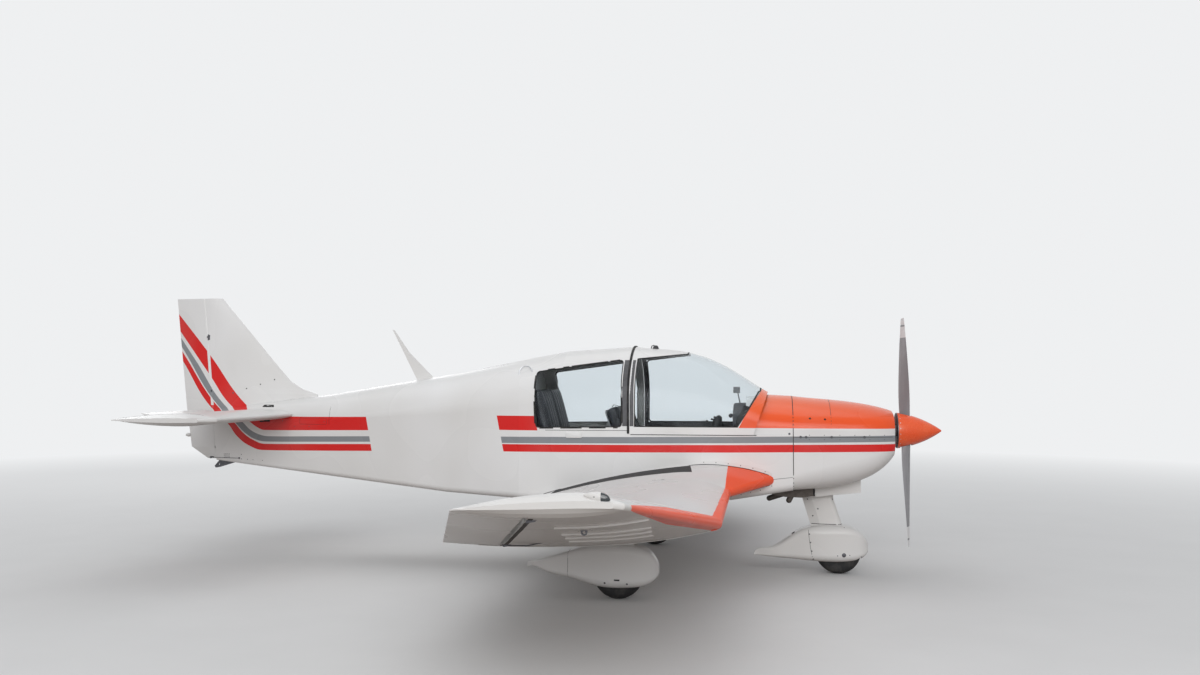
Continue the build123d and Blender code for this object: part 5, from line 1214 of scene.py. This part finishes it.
# %% [markdown]
# ## Controls by hand and foot
# A stick stands before each seat with a moulded grip and a leather gaiter at its foot, and two pedals hang
# beyond it. The grip is one swept bar whose radius swells for the palm; the gaiter is turned in soft folds.

# %% Grips, gaiters and pedals
GRIP = ((1.6045, 1.105, 0.0135), (1.6065, 1.125, 0.0225), (1.608, 1.150, 0.0205), (1.611, 1.185, 0.0240),
        (1.614, 1.215, 0.0225), (1.618, 1.250, 0.0250), (1.622, 1.285, 0.0265), (1.628, 1.312, 0.0215),
        (1.633, 1.322, 0.008))                                      # x, z, radius
FOLDS = [(0.004 + 0.105 * k / 18, 0.068 * (1 - k / 18) ** 1.25 + 0.0135 + 0.006 * (-1) ** k * (1 - k / 18))
         for k in range(19)]
BUTTON = [(0, 0.008), (0.026, 0.008), (0.029, 0.006), (0.029, 0.002)]
TRIGGER = ((1.640, -0.006, 1.245), (1.652, -0.006, 1.265), (1.652, 0.006, 1.265), (1.640, 0.006, 1.245))
PEDAL = rounded(rectangle(-0.048, 0.048, -0.036, 0.036), 0.012, 4)
PEDAL_X, FLOOR_Z = 2.060, 0.7352

grips, gaiters, pedals = stocks(3)
for y in (-0.25, 0.25):
    grips.bar([(x, y, z) for x, z, _ in GRIP], [radius for _, _, radius in GRIP], 24, squash=1.15)
    grips.turned((1.604, y, 1.302), (-1, 0, 0.25), BUTTON, 20)
    grips.slab([(x, y + dy, z) for x, dy, z in TRIGGER], (-0.008, 0, 0.004))
    gaiters.turned((1.499, y, FLOOR_Z), (0.26, 0, 0.97), FOLDS)
    for foot in (y - 0.10, y + 0.10):
        arm = [(PEDAL_X + dx, foot, z) for dx, z in ((0.050, 0.752), (0.020, 0.860), (0.0, 0.905))]
        pedals.bar(arm, 0.008)
        pedals.slab([(PEDAL_X - 0.006 - 0.35 * p[1], foot + p[0], 0.905 + 0.93 * p[1]) for p in PEDAL],
                    (-0.007, 0, -0.003))
        for rib in (-0.020, 0.0, 0.020):
            x, z = PEDAL_X - 0.016 - 0.35 * rib, 0.903 + 0.93 * rib
            pedals.bar([(x, foot - 0.040, z), (x, foot + 0.040, z)], 0.003, 8)
    pedals.bar([(2.110, y - 0.145, 0.754), (2.110, y + 0.145, 0.754)], 0.011)
grips.piece("stick_grips", black_plastic, smooth_under=60)
gaiters.piece("stick_gaiters", seat_hide)
pedals.piece("rudder_pedals", dark_steel)

# %% [markdown]
# ## Linings inside the cabin
# Bare plywood is covered: a carpet on the floor and padded boards with a pocket along the side walls. Rays
# sent from inside the cabin find the wall, as they do outside.

# %% Side linings, floor carpet and sill pads
LINED = ((0.14, 0.86, 0.80, 1.195), (0.98, 2.10, 0.80, 1.060))      # x from, x to, z from, z to
LINING_THICK = 0.008


def inner_wall(x, z, side):
    return landing("fuselage", (x, 0.0, z), (0, side, 0))


linings, sills, floor_mat = stocks(3)
for side in (-1, 1):
    inward = Y * -side
    for x0, x1, z0, z1 in LINED:
        rows = []
        for x in steps(x0, x1, 13):
            hits = [(inner_wall(x, z, side), z) for z in steps(z0, z1, 6)]
            rows.append([hit[0] if hit else Vector((x, side * 0.5, z)) for hit, z in hits])
        linings.rings([row + [p + inward * LINING_THICK for p in reversed(row)] for row in rows])
    for x in (1.30, 1.80):
        wall = inner_wall(x, 0.95, side)[0].y - side * LINING_THICK
        rows = []
        for k in range(9):
            bulge = 0.022 * math.sin(math.pi * k / 8)
            rows.append([Vector((x - 0.14 + 0.035 * k, wall - side * off, z)) for off, z in (
                (0, 0.845), (bulge + 0.004, 0.855), (bulge * 1.3 + 0.006, 0.965), (0, 0.970))])
        linings.rings(rows)
    edge = [inner_wall(x, 1.170, side) for x in steps(0.94, 1.93, 20)]
    sills.bar([h[0] + Vector((0, side * 0.010, 0.016)) for h in edge if h], 0.012, 10)
mat = rounded([(0.57, -0.455), (2.20, -0.425), (2.20, 0.425), (0.57, 0.455)], 0.04)
floor_mat.slab([(p[0], p[1], FLOOR_Z) for p in mat], (0, 0, 0.006))
linings.piece("side_linings", grey_plastic, smooth_under=50)
sills.piece("sill_pads", seal_rubber)
floor_mat.piece("floor_carpet", carpet)

# %% [markdown]
# ## Wing roots
# Where a wing leaves the fuselage, a rubber strip closes the gap and a moulded ring with small screws covers
# the joint. The corner between the two solids isn't drawn anywhere, so it is found with rays: one gives the
# wing's height, the next the fuselage's side at that height. A gritty black strip on top is for boots.

# %% Root rubber, cover ring and walkway
RING_FROM_X, RING_ABOVE, SCREW_SPACING = 1.30, 0.019, 0.075


def root_corner(side, name, x, reach):
    """Place where the wing's skin meets the fuselage's side at one station."""
    guess = reach("wing_inner_" + name, x, side * 0.545)
    wall = guess and on_side("fuselage", x, guess[0].z, side)
    if not wall or abs(wall[0].y) < 0.40:
        return None
    skin = reach("wing_inner_" + name, x, wall[0].y + side * 0.003)
    return Vector((x, wall[0].y, skin[0].z)) if skin else None


root_rubber, root_ring, root_screws, walkway = stocks(4)
for side, name in SIDES:
    corner = [root_corner(side, name, x, on_top) for x in steps(0.16, 2.088, 60)]
    corner += [root_corner(side, name, x, on_under) for x in steps(2.086, 1.70, 16)]
    corner = [p for p in corner if p]
    root_rubber.bar(corner, 0.0040, 8)
    ring_at = []
    for k, p in enumerate(corner):
        if p.x >= RING_FROM_X:
            way = (corner[min(k + 1, len(corner) - 1)] - corner[max(k - 1, 0)]).normalized()
            spot = p + Vector((-way.z, 0, way.x)) * RING_ABOVE
            hit = on_side("fuselage", spot.x, spot.z, side)
            if hit and abs(hit[0].y - p.y) < 0.06:
                ring_at.append(hit)
    root_ring.ribbon(ring_at, 0.026, height=0.0020)
    walked = 0.0
    for (a, _), spot in zip(ring_at, ring_at[1:]):
        walked += (spot[0] - a).length
        if walked > SCREW_SPACING:
            walked = 0.0
            root_screws.screw(spot, 0.0040, 0.0010, proud=0.0018)
    stations = steps(0.30, 1.425, 46)
    rows = [[on_top("wing_inner_" + name, x + (0.03 * share if x == stations[-1] else 0.0),
                    side * (0.562 + 0.27 * share))[0] for share in steps(0.0, 1.0, 7)] for x in stations]
    walkway.rings([[p + Z * 0.0014 for p in row] + [p - Z * 0.0014 for p in reversed(row)] for row in rows])
root_rubber.piece("wing_root_rubber", seal_rubber)
root_ring.piece("wing_root_rings", plain_paint)
root_screws.piece("wing_root_screws", dark_steel)
walkway.piece("wing_walkways", grit)

# %% [markdown]
# ## Outer wings
# The outer panels are cloth over wooden ribs. Strips over the ribs show on the underside, a joint strip with
# screws covers the crank, and the ailerons hang on brackets that reach below the skin. The tip lamp is a
# white teardrop with a dark glass in front, made of rings that grow and shrink along its length.

# %% Rib strips, crank strips, hinge brackets and painted shade along the aileron gaps
# Each rib strip's distance out, and where it starts and ends in x
RIB_STRIPS = ((3.10, 0.900, 1.390), (3.31, 0.920, 1.405), (3.52, 0.940, 1.425), (3.87, 0.970, 1.450))
JOINT_Y, SCREWS_FROM_X = 2.745, 0.52
BRACKET = ((0.055, 0.003), (0.045, -0.006), (0.008, -0.013), (0.000, -0.010), (0.001, 0.002))

ribs, joints, joint_screws, brackets, gap_shades = stocks(5)
for side, name in SIDES:
    outer, aileron = "wing_outer_" + name, "aileron_" + name
    for y, rear, front in RIB_STRIPS:
        spots = [on_under(outer, x, side * y) for x in steps(rear, front, 16)]
        ribs.ribbon(spots, 0.022, height=0.0075, across=Y)
    for reach, start, stop in ((on_top, 0.24, 1.735), (on_under, 1.735, 0.26)):
        spots = [s for s in (reach(outer, x, side * JOINT_Y) for x in steps(start, stop, 30)) if s]
        joints.ribbon(spots, 0.034, height=0.0014, across=Y)
        for spot in spots[1:-1:2]:
            for dy in (-0.010, 0.010):
                if spot[0].x > SCREWS_FROM_X:
                    joint_screws.screw(spot, 0.0030, 0.0008, proud=0.0010, move=Y * dy)
    edge_at = []
    for y in steps(2.765, 4.250, 24):
        front = max((x for x in steps(0.30, 0.95, 131) if on_under(aileron, x, side * y)), default=None)
        if front is not None:
            low = on_under(aileron, front - 0.01, side * y)[0].z
            behind = [on_under(outer, front + d, side * y) for d in steps(0.0, 0.12, 41)]
            edge_at += [h for h in behind if h and h[0].z < low + 0.020][:1]
    # A dark brown strip on the wing's underside along each aileron's gap: painted shade of the gap.
    gap_shades.ribbon([(p + X * 0.0155, o) for p, o in edge_at], 0.024, height=0.0012, across=X)
    for place, _ in (edge_at[1], edge_at[-2]):
        for dy in (-0.008, 0.008):
            brackets.slab([place + Vector((x, dy, z)) for x, z in BRACKET], Y * 0.0025)
        brackets.bar([place + Vector((0.004, dy, -0.008)) for dy in (-0.014, 0.014)], 0.0040, 10)
    rod = [on_under(outer, x, side * y)[0] + Z * dz
           for x, y, dz in ((0.72, 2.98, 0.003), (0.60, 2.90, -0.010))]
    brackets.bar(rod + [edge_at[2][0] + Vector((0.02, 0, -0.012))], 0.0040, 10)
ribs.piece("wing_rib_strips", plain_paint)
joints.piece("wing_joint_strips", wing_paint)
joint_screws.piece("wing_joint_screws", bare_alloy)
brackets.piece("aileron_brackets", dark_steel)
gap_shades.piece("aileron_gap_seals", gap_shade_brown)

# %% Oval covers, tank cap, vents and tip lamps
OVALS = (("wing_outer_", 1.093, 3.70, 0.050, 0.075), ("wing_inner_", 1.25, 2.25, 0.075, 0.055),
         ("wing_inner_", 0.80, 1.95, 0.055, 0.055))              # on, x, y, half sizes
OVAL_LAYERS = ((-0.003, 1.0), (0.0016, 1.0), (0.0022, 0.95))     # off the skin, share of the size
TANK_CAP = [(0, 0.046), (0.0036, 0.046), (0.0050, 0.043), (0.0050, 0.034), (0.0075, 0.032), (0.0082, 0.028)]
LAMP_BODY = ((1.200, 0.0010, 0.0015), (1.216, 0.0060, 0.0100), (1.238, 0.0110, 0.0180),
             (1.262, 0.0150, 0.0240), (1.284, 0.0165, 0.0262))   # x, half sizes in y and z
LAMP_LENS = ((1.2845, 0.0163, 0.0258), (1.300, 0.0155, 0.0244), (1.314, 0.0125, 0.0190),
             (1.323, 0.0075, 0.0110), (1.3265, 0.0010, 0.0010))

covers, dark_bits, lamps, lenses = stocks(4)
for side, name in SIDES:
    for node, x, y, half_x, half_y in OVALS:
        def oval(share, count, start=0.0):
            return [on_under(node + name, x + p.x * share, side * (y + p.y * share))
                    for p in circle(count, X * half_x, Y * half_y, start)]
        covers.rings([[p + o * off for p, o in oval(share, 28)] for off, share in OVAL_LAYERS])
        for spot in oval(0.84, 6, 0.5):
            dark_bits.screw(spot, 0.0034, 0.0010, proud=0.0020)
    cap = on_top("wing_inner_" + name, 1.22, side * 1.15)
    covers.stud(cap, TANK_CAP, 36)
    dark_bits.stud(cap, [(0, 0.0485), (0.0026, 0.0485), (0.0026, 0.046)], 36)
    place, outward = on_under("wing_inner_" + name, 0.60, side * 1.62)
    vent = [place + outward * proud - X * back
            for proud, back in ((-0.003, 0.0), (0.020, 0.0), (0.030, 0.012))]
    dark_bits.bar(vent, 0.0042, 10)
    for stock, stations in ((lamps, LAMP_BODY), (lenses, LAMP_LENS)):
        stock.rings([[Vector((x, side * 4.3425, 1.1030 - 0.157 * (x - 1.264))) + p
                      for p in circle(28, Y * half_y, Z * half_z)] for x, half_y, half_z in stations])
    lenses.screw((Vector((1.254, side * 4.3565, 1.105)), Y * side), 0.0030, 0.0008)
covers.piece("wing_covers", plain_paint)
dark_bits.piece("wing_cover_screws", dark_steel)
lamps.piece("tip_lamp_bodies", plain_paint)
lenses.piece("tip_lamp_lenses", dark_lens)

# %% [markdown]
# ## Landing gear
# Moulded spats are split so that the wheel can come off: a seam with screws joins the halves, a slot lets a
# gauge reach the tyre valve, and the axle's end shows as a bolt. The marks are laid on the solid with rays.
# Everything on the nose spat and its leg turns with the wheel, so those pieces ride on the nose leg.

# %% Main spats and legs
TRACK_HALF = 1.29
MAIN_SCREW = [(0, 0.0075), (0.0032, 0.0075), (0.0044, 0.0058), (0.0034, 0.0030)]
NOSE_SCREW = [(0, 0.0062), (0.0030, 0.0062), (0.0040, 0.0046), (0.0032, 0.0022)]

spat_screws, spat_dark, spat_seams = stocks(3)
for side, name in SIDES:
    spat, fairing, y = "main_spat_" + name, "main_leg_fairing_" + name, side * TRACK_HALF
    for face in (side, -side):
        for x, z in ((0.847, 0.134), (1.013, 0.130)):
            spat_screws.stud(landing(spat, (x, y + face, z), (0, -face, 0)), MAIN_SCREW, 16)
        spat_dark.tag(landing(spat, (0.938, y + face, 0.158), (0, -face, 0)), (0.021, 0.0055), 0.0016)
        for z in (0.455, 0.520, 0.585):
            spat_screws.screw(landing(fairing, (0.745, y + face * 0.5, z), (0, -face, 0)), 0.0038, 0.0012)
    loop = ringed(spat, (0.560, y, 0.250), 1.0, circle(41, Y, Z))
    spat_seams.ribbon(loop, 0.0022, closed=True, across=X)
    for spot in loop[::5]:
        spat_screws.screw(spot, 0.0036, 0.0010, move=X * 0.013)
    collar = [h for h in ringed(fairing, (0.86, y, 0.606), 0.6, circle(48, X, Y)) if abs(h[0].y - y) < 0.16]
    spat_seams.ribbon(collar, 0.010, height=0.0022, closed=True, across=Z)
spat_screws.piece("main_spat_screws", dark_steel)
spat_dark.piece("main_spat_slots", seal_rubber)
spat_seams.piece("main_spat_seams", seal_rubber)

# %% Nose spat, leg fairing and axle end
NOSE_SEAM = [Vector(p) for p in ((2.388, 0.372), (2.388, 0.339), (2.397, 0.270), (2.407, 0.198),
                                 (2.421, 0.131), (2.424, 0.116))]
AXLE_NUT = [(0, 0.0150), (0.0045, 0.0150), (0.0050, 0.0115), (0.0120, 0.0110), (0.0130, 0.0085),
            (0.0130, 0.0040)]

nose_screws, nose_seam, collar = stocks(3)
for face in (-1, 1):
    nose_seam.ribbon([on_side("nose_spat", *(a + (b - a) * t), face) for a, b in zip(NOSE_SEAM, NOSE_SEAM[1:])
                      for t in (0.0, 0.33, 0.67)], 0.0028, height=0.0007)
    for x, z in NOSE_SEAM[1:5]:
        nose_screws.stud(on_side("nose_spat", x + 0.006, z, face), NOSE_SCREW, 14)
    axle = on_side("nose_spat", 2.677, 0.172, face)
    nose_screws.stud(axle, AXLE_NUT, 6, sunk=0.003)
    nose_screws.stud(axle, [(0, 0.0175), (0.0040, 0.0175), (0.0043, 0.0150)], 24, sunk=0.003)
    for x, z, radius in ((2.624, 0.166, 0.0046), (2.725, 0.171, 0.0046), (2.683, 0.398, 0.0040)):
        nose_screws.screw(on_side("nose_spat", x, z, face), radius, 0.0012)
    for x, z in ((2.384, 0.622), (2.428, 0.483), (2.593, 0.626), (2.470, 0.545)):
        nose_screws.stud(on_side("nose_leg_fairing", x, z, face), NOSE_SCREW, 14)
cuff_line, top_edge = ([h for h in ringed("nose_leg_fairing", (2.515, 0, height), 0.6, circle(56, X, Y))
                        if abs(h[0].y) < width] for height, width in ((0.416, 0.07), (0.634, 0.06)))
outer = [p for p, _ in top_edge]
lifted = [Vector((p.x, p.y, min(0.649 + 0.035 * (p.x - 2.34), 0.660))) for p in outer]
middle = sum(outer, Vector()) / len(outer)
collar.rings([outer, lifted, [middle + (p - middle) * 0.86 + Z * 0.014 for p in outer]], capped=False)
collar.piece("nose_leg_collar", plain_paint, body="nose_leg")
nose_seam.ribbon(cuff_line, 0.005, height=0.0012, closed=True, across=Z)
nose_screws.piece("nose_spat_screws", dark_steel, body="nose_leg")
nose_seam.piece("nose_spat_seams", seal_rubber, body="nose_leg")

# %% [markdown]
# ## Wheels
# Light-aircraft rims are two cast halves held by a ring of bolts, with a rubber valve. Grooves in the tread
# could be dark lines laid on the tyre, but light falls along the tyre where the spat ends, and a line has no
# depth. So the tyre is turned anew: rays give the outline of its solid, and four grooves are cut into that
# outline. All of this turns with the wheel.

# %% Hub bolts, valves and treaded tyres
WHEELS = (("nose_wheel", "nose", "", (2.6355, 0, 0.190)),
          ("main_wheel_left", "main", "_left", (0.9335, 1.290, 0.190)),
          ("main_wheel_right", "main", "_right", (0.9335, -1.290, 0.190)))
BEAD = ((0.061, 0.082), (0.075, 0.116), (0.0748, 0.130))        # lower side of the tyre as (across, radius)
SHOULDER = (0.022, 0.040, 0.045, 0.050, 0.055, 0.060, 0.064, 0.068, 0.071, 0.0735)
GROOVES, GROOVE_HALF, GROOVE_SLOPE, GROOVE_DEPTH = (-0.033, -0.011, 0.011, 0.033), 0.0028, 0.0008, 0.0038
BOLT = [(0, 0.0068), (0.0070, 0.0068), (0.0080, 0.0056)]
VALVE = [(0, 0.0050), (0.012, 0.0042), (0.016, 0.0042), (0.017, 0.003)]


def tread_outline(tyre, middle):
    """Half section of a tyre as (across, radius), from its own solid, with the grooves cut in."""
    def radius(y):
        return landing(tyre, middle + Vector((0, y, 0.6)), -Z)[0].z - middle.z
    outline = [(y, radius(y)) for y in [0.0] + [s * y for s in (-1, 1) for y in SHOULDER]]
    for groove, s in ((g, s) for g in GROOVES for s in (-1, 1)):
        edge = groove + s * GROOVE_HALF
        outline += [(edge, radius(edge)), (edge - s * GROOVE_SLOPE, radius(edge) - GROOVE_DEPTH)]
    return [(-y, r) for y, r in BEAD] + sorted(outline) + list(reversed(BEAD))


for body, kind, end, middle in WHEELS:
    rim, tyre, middle = kind + "_rim" + end, kind + "_tyre" + end, Vector(middle)
    hub, tread = stocks(2)
    for face in (-1, 1):
        for way in circle(6, X, Z):
            hub.stud(landing(rim, middle + way * 0.047 + Y * face * 0.5, (0, -face, 0)), BOLT, 6)
    hub.stud(landing(rim, middle + Vector((0.066, 0.5, 0.010)), -Y), VALVE, 12)
    hub.piece(body + "_bolts", bare_alloy, body=body)
    outline = tread_outline(tyre, middle)
    tread.rings([[middle + Y * y + way * r for y, r in outline] for way in circle(96, X, Z)], closed=True)
    tread.piece(tyre + "_treaded", tyre_rubber, body=body, smooth_under=30.0, replaces=(tyre,))

# %% [markdown]
# ## Propeller and the underside of the nose
# Behind the spinner there is a back plate with a ring of screws, which turns with it. Air enters beside the
# spinner, passes the cylinders and leaves through the outlet below with the two exhaust pipes. The intakes
# get wire mesh: it could be a pattern of holes, but a grid of thin bars held in a rim also shows its depth.

# %% Spinner plate, intake screens, painted outlet shade and drain pipes
BACK_PLATE = [(-0.0005, 0.1480), (0.0070, 0.1480), (0.0085, 0.1440), (0.0085, 0.0600), (0.0070, 0.0500),
              (-0.0005, 0.0500)]
SPINNER_MIDDLE = Vector((3.146, 0, SHAFT_Z))
INTAKE_RADIUS, WIRE_SPACING = 0.069, 0.010
INTAKE_RIM = [(0, 0.0745), (0.0, 0.0690), (0.020, 0.0670), (0.026, 0.0670), (0.026, 0.0745)]
OUTLET_SHADE = ((2.075, 0.690), (2.240, 0.730), (2.425, 0.735), (2.425, 0.668), (2.330, 0.652), (2.200, 0.655),
          (2.085, 0.672))
DRAIN_PIPES = ((0.085, 2.180, 0.060, 0.006), (-0.060, 2.210, 0.052, 0.005), (0.020, 2.160, 0.040, 0.004))

plate, rim_screws, screens, rims, outlet_shade, pipes = stocks(6)
plate.turned((3.1315, 0, SHAFT_Z), -X, BACK_PLATE, 72)
plate.piece("spinner_back_plate", dark_steel, body="propeller", smooth_under=30)
for way in circle(20, Z, Y, 0.5):
    hit = landing("spinner", SPINNER_MIDDLE + way, -way)
    if hit and (hit[0] - SPINNER_MIDDLE).length > 0.13:
        rim_screws.screw((hit[0], way), 0.0036, 0.0010)
rim_screws.piece("spinner_screws", bare_alloy, body="propeller")
for side in (-1, 1):
    centre = Vector((3.052, side * 0.205, 1.235))
    rims.turned(centre + X * 0.024, -X, INTAKE_RIM, 48)
    for offset in (WIRE_SPACING * k for k in range(-6, 7)):
        reach = math.sqrt(INTAKE_RADIUS ** 2 - offset ** 2)
        screens.bar([centre + Vector((0, offset, end)) for end in (-reach, reach)], 0.0009, 6)
        screens.bar([centre + Vector((0.001, end, offset)) for end in (-reach, reach)], 0.0009, 6)
    y0, y1 = sorted((side * 0.182, side * 0.186))
    # Dark plates on both sides of the cooling outlet: painted shade, standing for the shade inside its opening.
    outlet_shade.slab([(x, y0, z) for x, z in OUTLET_SHADE], (0, y1 - y0, 0))
screens.piece("intake_screens", dark_steel)
rims.piece("intake_rims", seal_rubber)
outlet_shade.piece("cooling_outlet_lips", scorched_steel, bevel=0.001)
for y, x, drop, radius in DRAIN_PIPES:
    top = (on_under("fuselage", x, y) or on_under("cowl_lower", x + 0.12, y))[0] + Z * 0.010
    pipes.bar([top, top - Z * drop, top - Vector((0.016, 0, drop + 0.016))], radius, 10)
pipes.piece("drain_pipes", bare_alloy)

# %% Belly drains and access panels
BELLY_DRAIN = [(0, 0.014), (0.004, 0.014), (0.005, 0.011), (0.012, 0.009), (0.013, 0.005)]

belly, belly_lines = stocks(2)
for x, y in ((1.55, 0.12), (1.55, -0.12), (0.62, 0.0), (-0.85, 0.0)):
    belly.stud(on_under("fuselage", x, y), BELLY_DRAIN, 20)
for x0, x1, half in ((1.18, 1.78, 0.20), (-0.35, 0.15, 0.17), (-1.60, -1.25, 0.11)):
    outline = filled(rounded(rectangle(x0, x1, -half, half), 0.03, 4), 0.05)
    spots = [s for s in (on_under("fuselage", *p) for p in outline) if s]
    belly_lines.ribbon(spots, 0.0022, closed=True)
    for spot in spots[::4]:
        inward = Vector(((x0 + x1) / 2 - spot[0].x, -spot[0].y, 0)).normalized() * 0.014
        belly.screw(spot, 0.0034, 0.0010, move=inward)
belly.piece("belly_fittings", dark_steel)
belly_lines.piece("belly_panel_lines", seal_rubber)

# %% [markdown]
# ## Tail
# Hinges, a slot where the tailplane's tube moves, small vent holes and the cables that pull the rudder. Each
# is small, yet together they tell that the tail moves. What sits on the rudder, the tailplane or the tab
# rides on it. The cables could ride on the rudder too, but then they would slip out of the fuselage. They
# leave it and end at the horn, and are not attached to any body.

# %% Fin marks, rudder hinges and tail light
TUBE_SLOT = rounded([(-2.568, 1.386), (-2.440, 1.386), (-2.452, 1.407), (-2.556, 1.407)], 0.008, 4)
FIN_HOLE = [(0, 0.0065), (0.0028, 0.0065), (0.0030, 0.0045), (0.0022, 0.001)]
VENT_HOLE = [(0, 0.0034), (0.0025, 0.0034), (0.0025, 0.001)]
TAIL_LIGHT = [(0, 0.016), (0.012, 0.019), (0.030, 0.018), (0.036, 0.015)]
TAIL_LENS = [(0, 0.0145), (0.006, 0.0140), (0.012, 0.010), (0.015, 0.004)]
LOW_SCREWS = ((-2.766, 0.905), (-2.700, 0.902), (-2.640, 0.900), (-2.538, 0.897), (-2.766, 0.945))
SIDE_SCREWS = ((-2.520, 1.262), (-2.330, 1.262), (-1.895, 1.262), (-2.20, 1.215), (-2.05, 1.215))
(LOW_Z, LOW_X), (HIGH_Z, HIGH_X) = HINGE_LINE
PLATE_Z = 2.038
PLATE_X = LOW_X + (HIGH_X - LOW_X) * (PLATE_Z - LOW_Z) / (HIGH_Z - LOW_Z) + 0.026
HORN_X, HORN_Z = -3.085, 0.915

tail_dark, tail_holes, hinges, light_body, light_lens, horn = stocks(6)
for side in (-1, 1):
    for x, z in ((-2.489, 1.640), (-2.622, 1.596), (-2.757, 1.556), (-2.891, 1.515)):
        tail_holes.stud(on_side("fin", x, z, side), FIN_HOLE, 16)
    ring = [h[0] for h in (outermost(("fin", "fuselage"), *p, side) for p in TUBE_SLOT) if h]
    tail_dark.rings([[p + Y * side * off for p in ring] for off in (-0.004, 0.0014)])
    for x, z, wide, high in ((-2.470, 1.262, 0.055, 0.010), (-2.540, 1.255, 0.030, 0.006)):
        tail_dark.tag(on_side("fuselage", x, z, side), (wide, high), 0.0012)
    for z in steps(0.915, 0.948, 4):
        for x in steps(-2.955, -2.899, 5):
            tail_holes.stud(on_side("fuselage", x, z, side), VENT_HOLE, 10)
    for places, radius in ((LOW_SCREWS, 0.0040), (SIDE_SCREWS, 0.0038)):
        for x, z in places:
            tail_holes.screw(on_side("fuselage", x, z, side), radius, 0.0010)
    hinges.tag(on_side("fin", PLATE_X, PLATE_Z, side), ((-0.012, -0.030), (0.010, -0.021), (0.010, 0.021),
                                                        (-0.012, 0.030)), 0.0018)
    horn.turned((HORN_X, side * 0.080, 0.905), Z, [(0, 0.009), (0.020, 0.009)], 14)
tail_dark.piece("tail_slots", seal_rubber)
tail_holes.piece("tail_screws_and_holes", dark_steel)
hinges.piece("fin_hinge_plates", dark_steel)
light_body.turned((-3.338, 0, 1.120), (-1, 0, -0.05), TAIL_LIGHT, 24)
light_body.piece("tail_light_body", plain_paint, body="rudder")
light_lens.turned((-3.374, 0, 1.118), (-1, 0, -0.05), TAIL_LENS, 24)
light_lens.piece("tail_light_lens", clear_lens, body="rudder")
horn.bar([(HORN_X, -0.085, HORN_Z), (HORN_X, 0.085, HORN_Z)], 0.0060)
horn.piece("rudder_horn", dark_steel, body="rudder")

# %% Rudder cables and skid bolts
CABLE_BEND = (-2.85, 0, 0.913)

cables, cable_eyes = stocks(2)
for side in (-1, 1):
    start, outward = on_side("fuselage", -2.79, 0.912, side)
    leave, end = start + outward * 0.004 - X * 0.03, Vector((HORN_X + 0.013, side * 0.086, HORN_Z))
    path = [start - outward * 0.004] + [leave.lerp(end, share) for share in steps(0.0, 1.0, 10)]
    cables.bar(path, 0.0022, 8)
    cable_eyes.stud((start, outward), [(0, 0.010), (0.005, 0.009), (0.008, 0.004)], 16, sunk=0.003)
for x in (-2.905, -2.965):
    cable_eyes.turned((x, -0.013, 0.868), Y, [(0, 0.0065), (0.026, 0.0065)], 6)
cable_eyes.piece("cable_eyes_and_skid_bolts", dark_steel)
cables.piece("rudder_cables", dark_steel,
             body=("airframe", "rudder", CABLE_BEND, (HORN_X + 0.020, 0, HORN_Z)))

# %% Tailplane: tab hinges and tip screws
TAB_HINGE_X, TIP_SCREW_Y, TIP_SEAM_Y = -2.972, 1.478, 1.492

tab_hinges, tab_screws, tip_seams = stocks(3)
for side in (-1, 1):
    for reach in (on_top, on_under):
        for y in (0.26, 0.635, 1.010):
            hit = reach("tailplane", TAB_HINGE_X, side * y)
            if hit:
                leaf = [(hit[0] + Y * d, hit[1]) for d in (-0.030, 0.030)]
                tab_hinges.ribbon(leaf, 0.016, height=0.0018, across=X)
                for d in (-0.020, 0.020):
                    tab_screws.screw(hit, 0.0030, 0.0010, proud=0.0014, move=Y * d)
        for x in steps(-2.38, -3.02, 9):
            tab_screws.screw(reach("tailplane", x, side * TIP_SCREW_Y), 0.0030, 0.0008)
    seam_at = [on_top("tailplane", x, side * TIP_SEAM_Y) for x in steps(-2.34, -3.05, 14)]
    seam_at += [on_under("tailplane", x, side * TIP_SEAM_Y) for x in steps(-3.05, -2.34, 14)]
    tip_seams.ribbon(seam_at, 0.0022, across=Y)
tab_hinges.piece("tab_hinges", plain_paint, body="tailplane")
tab_screws.piece("tailplane_screws", bare_alloy, body="tailplane")
tip_seams.piece("tailplane_tip_seams", seal_rubber, body="tailplane")
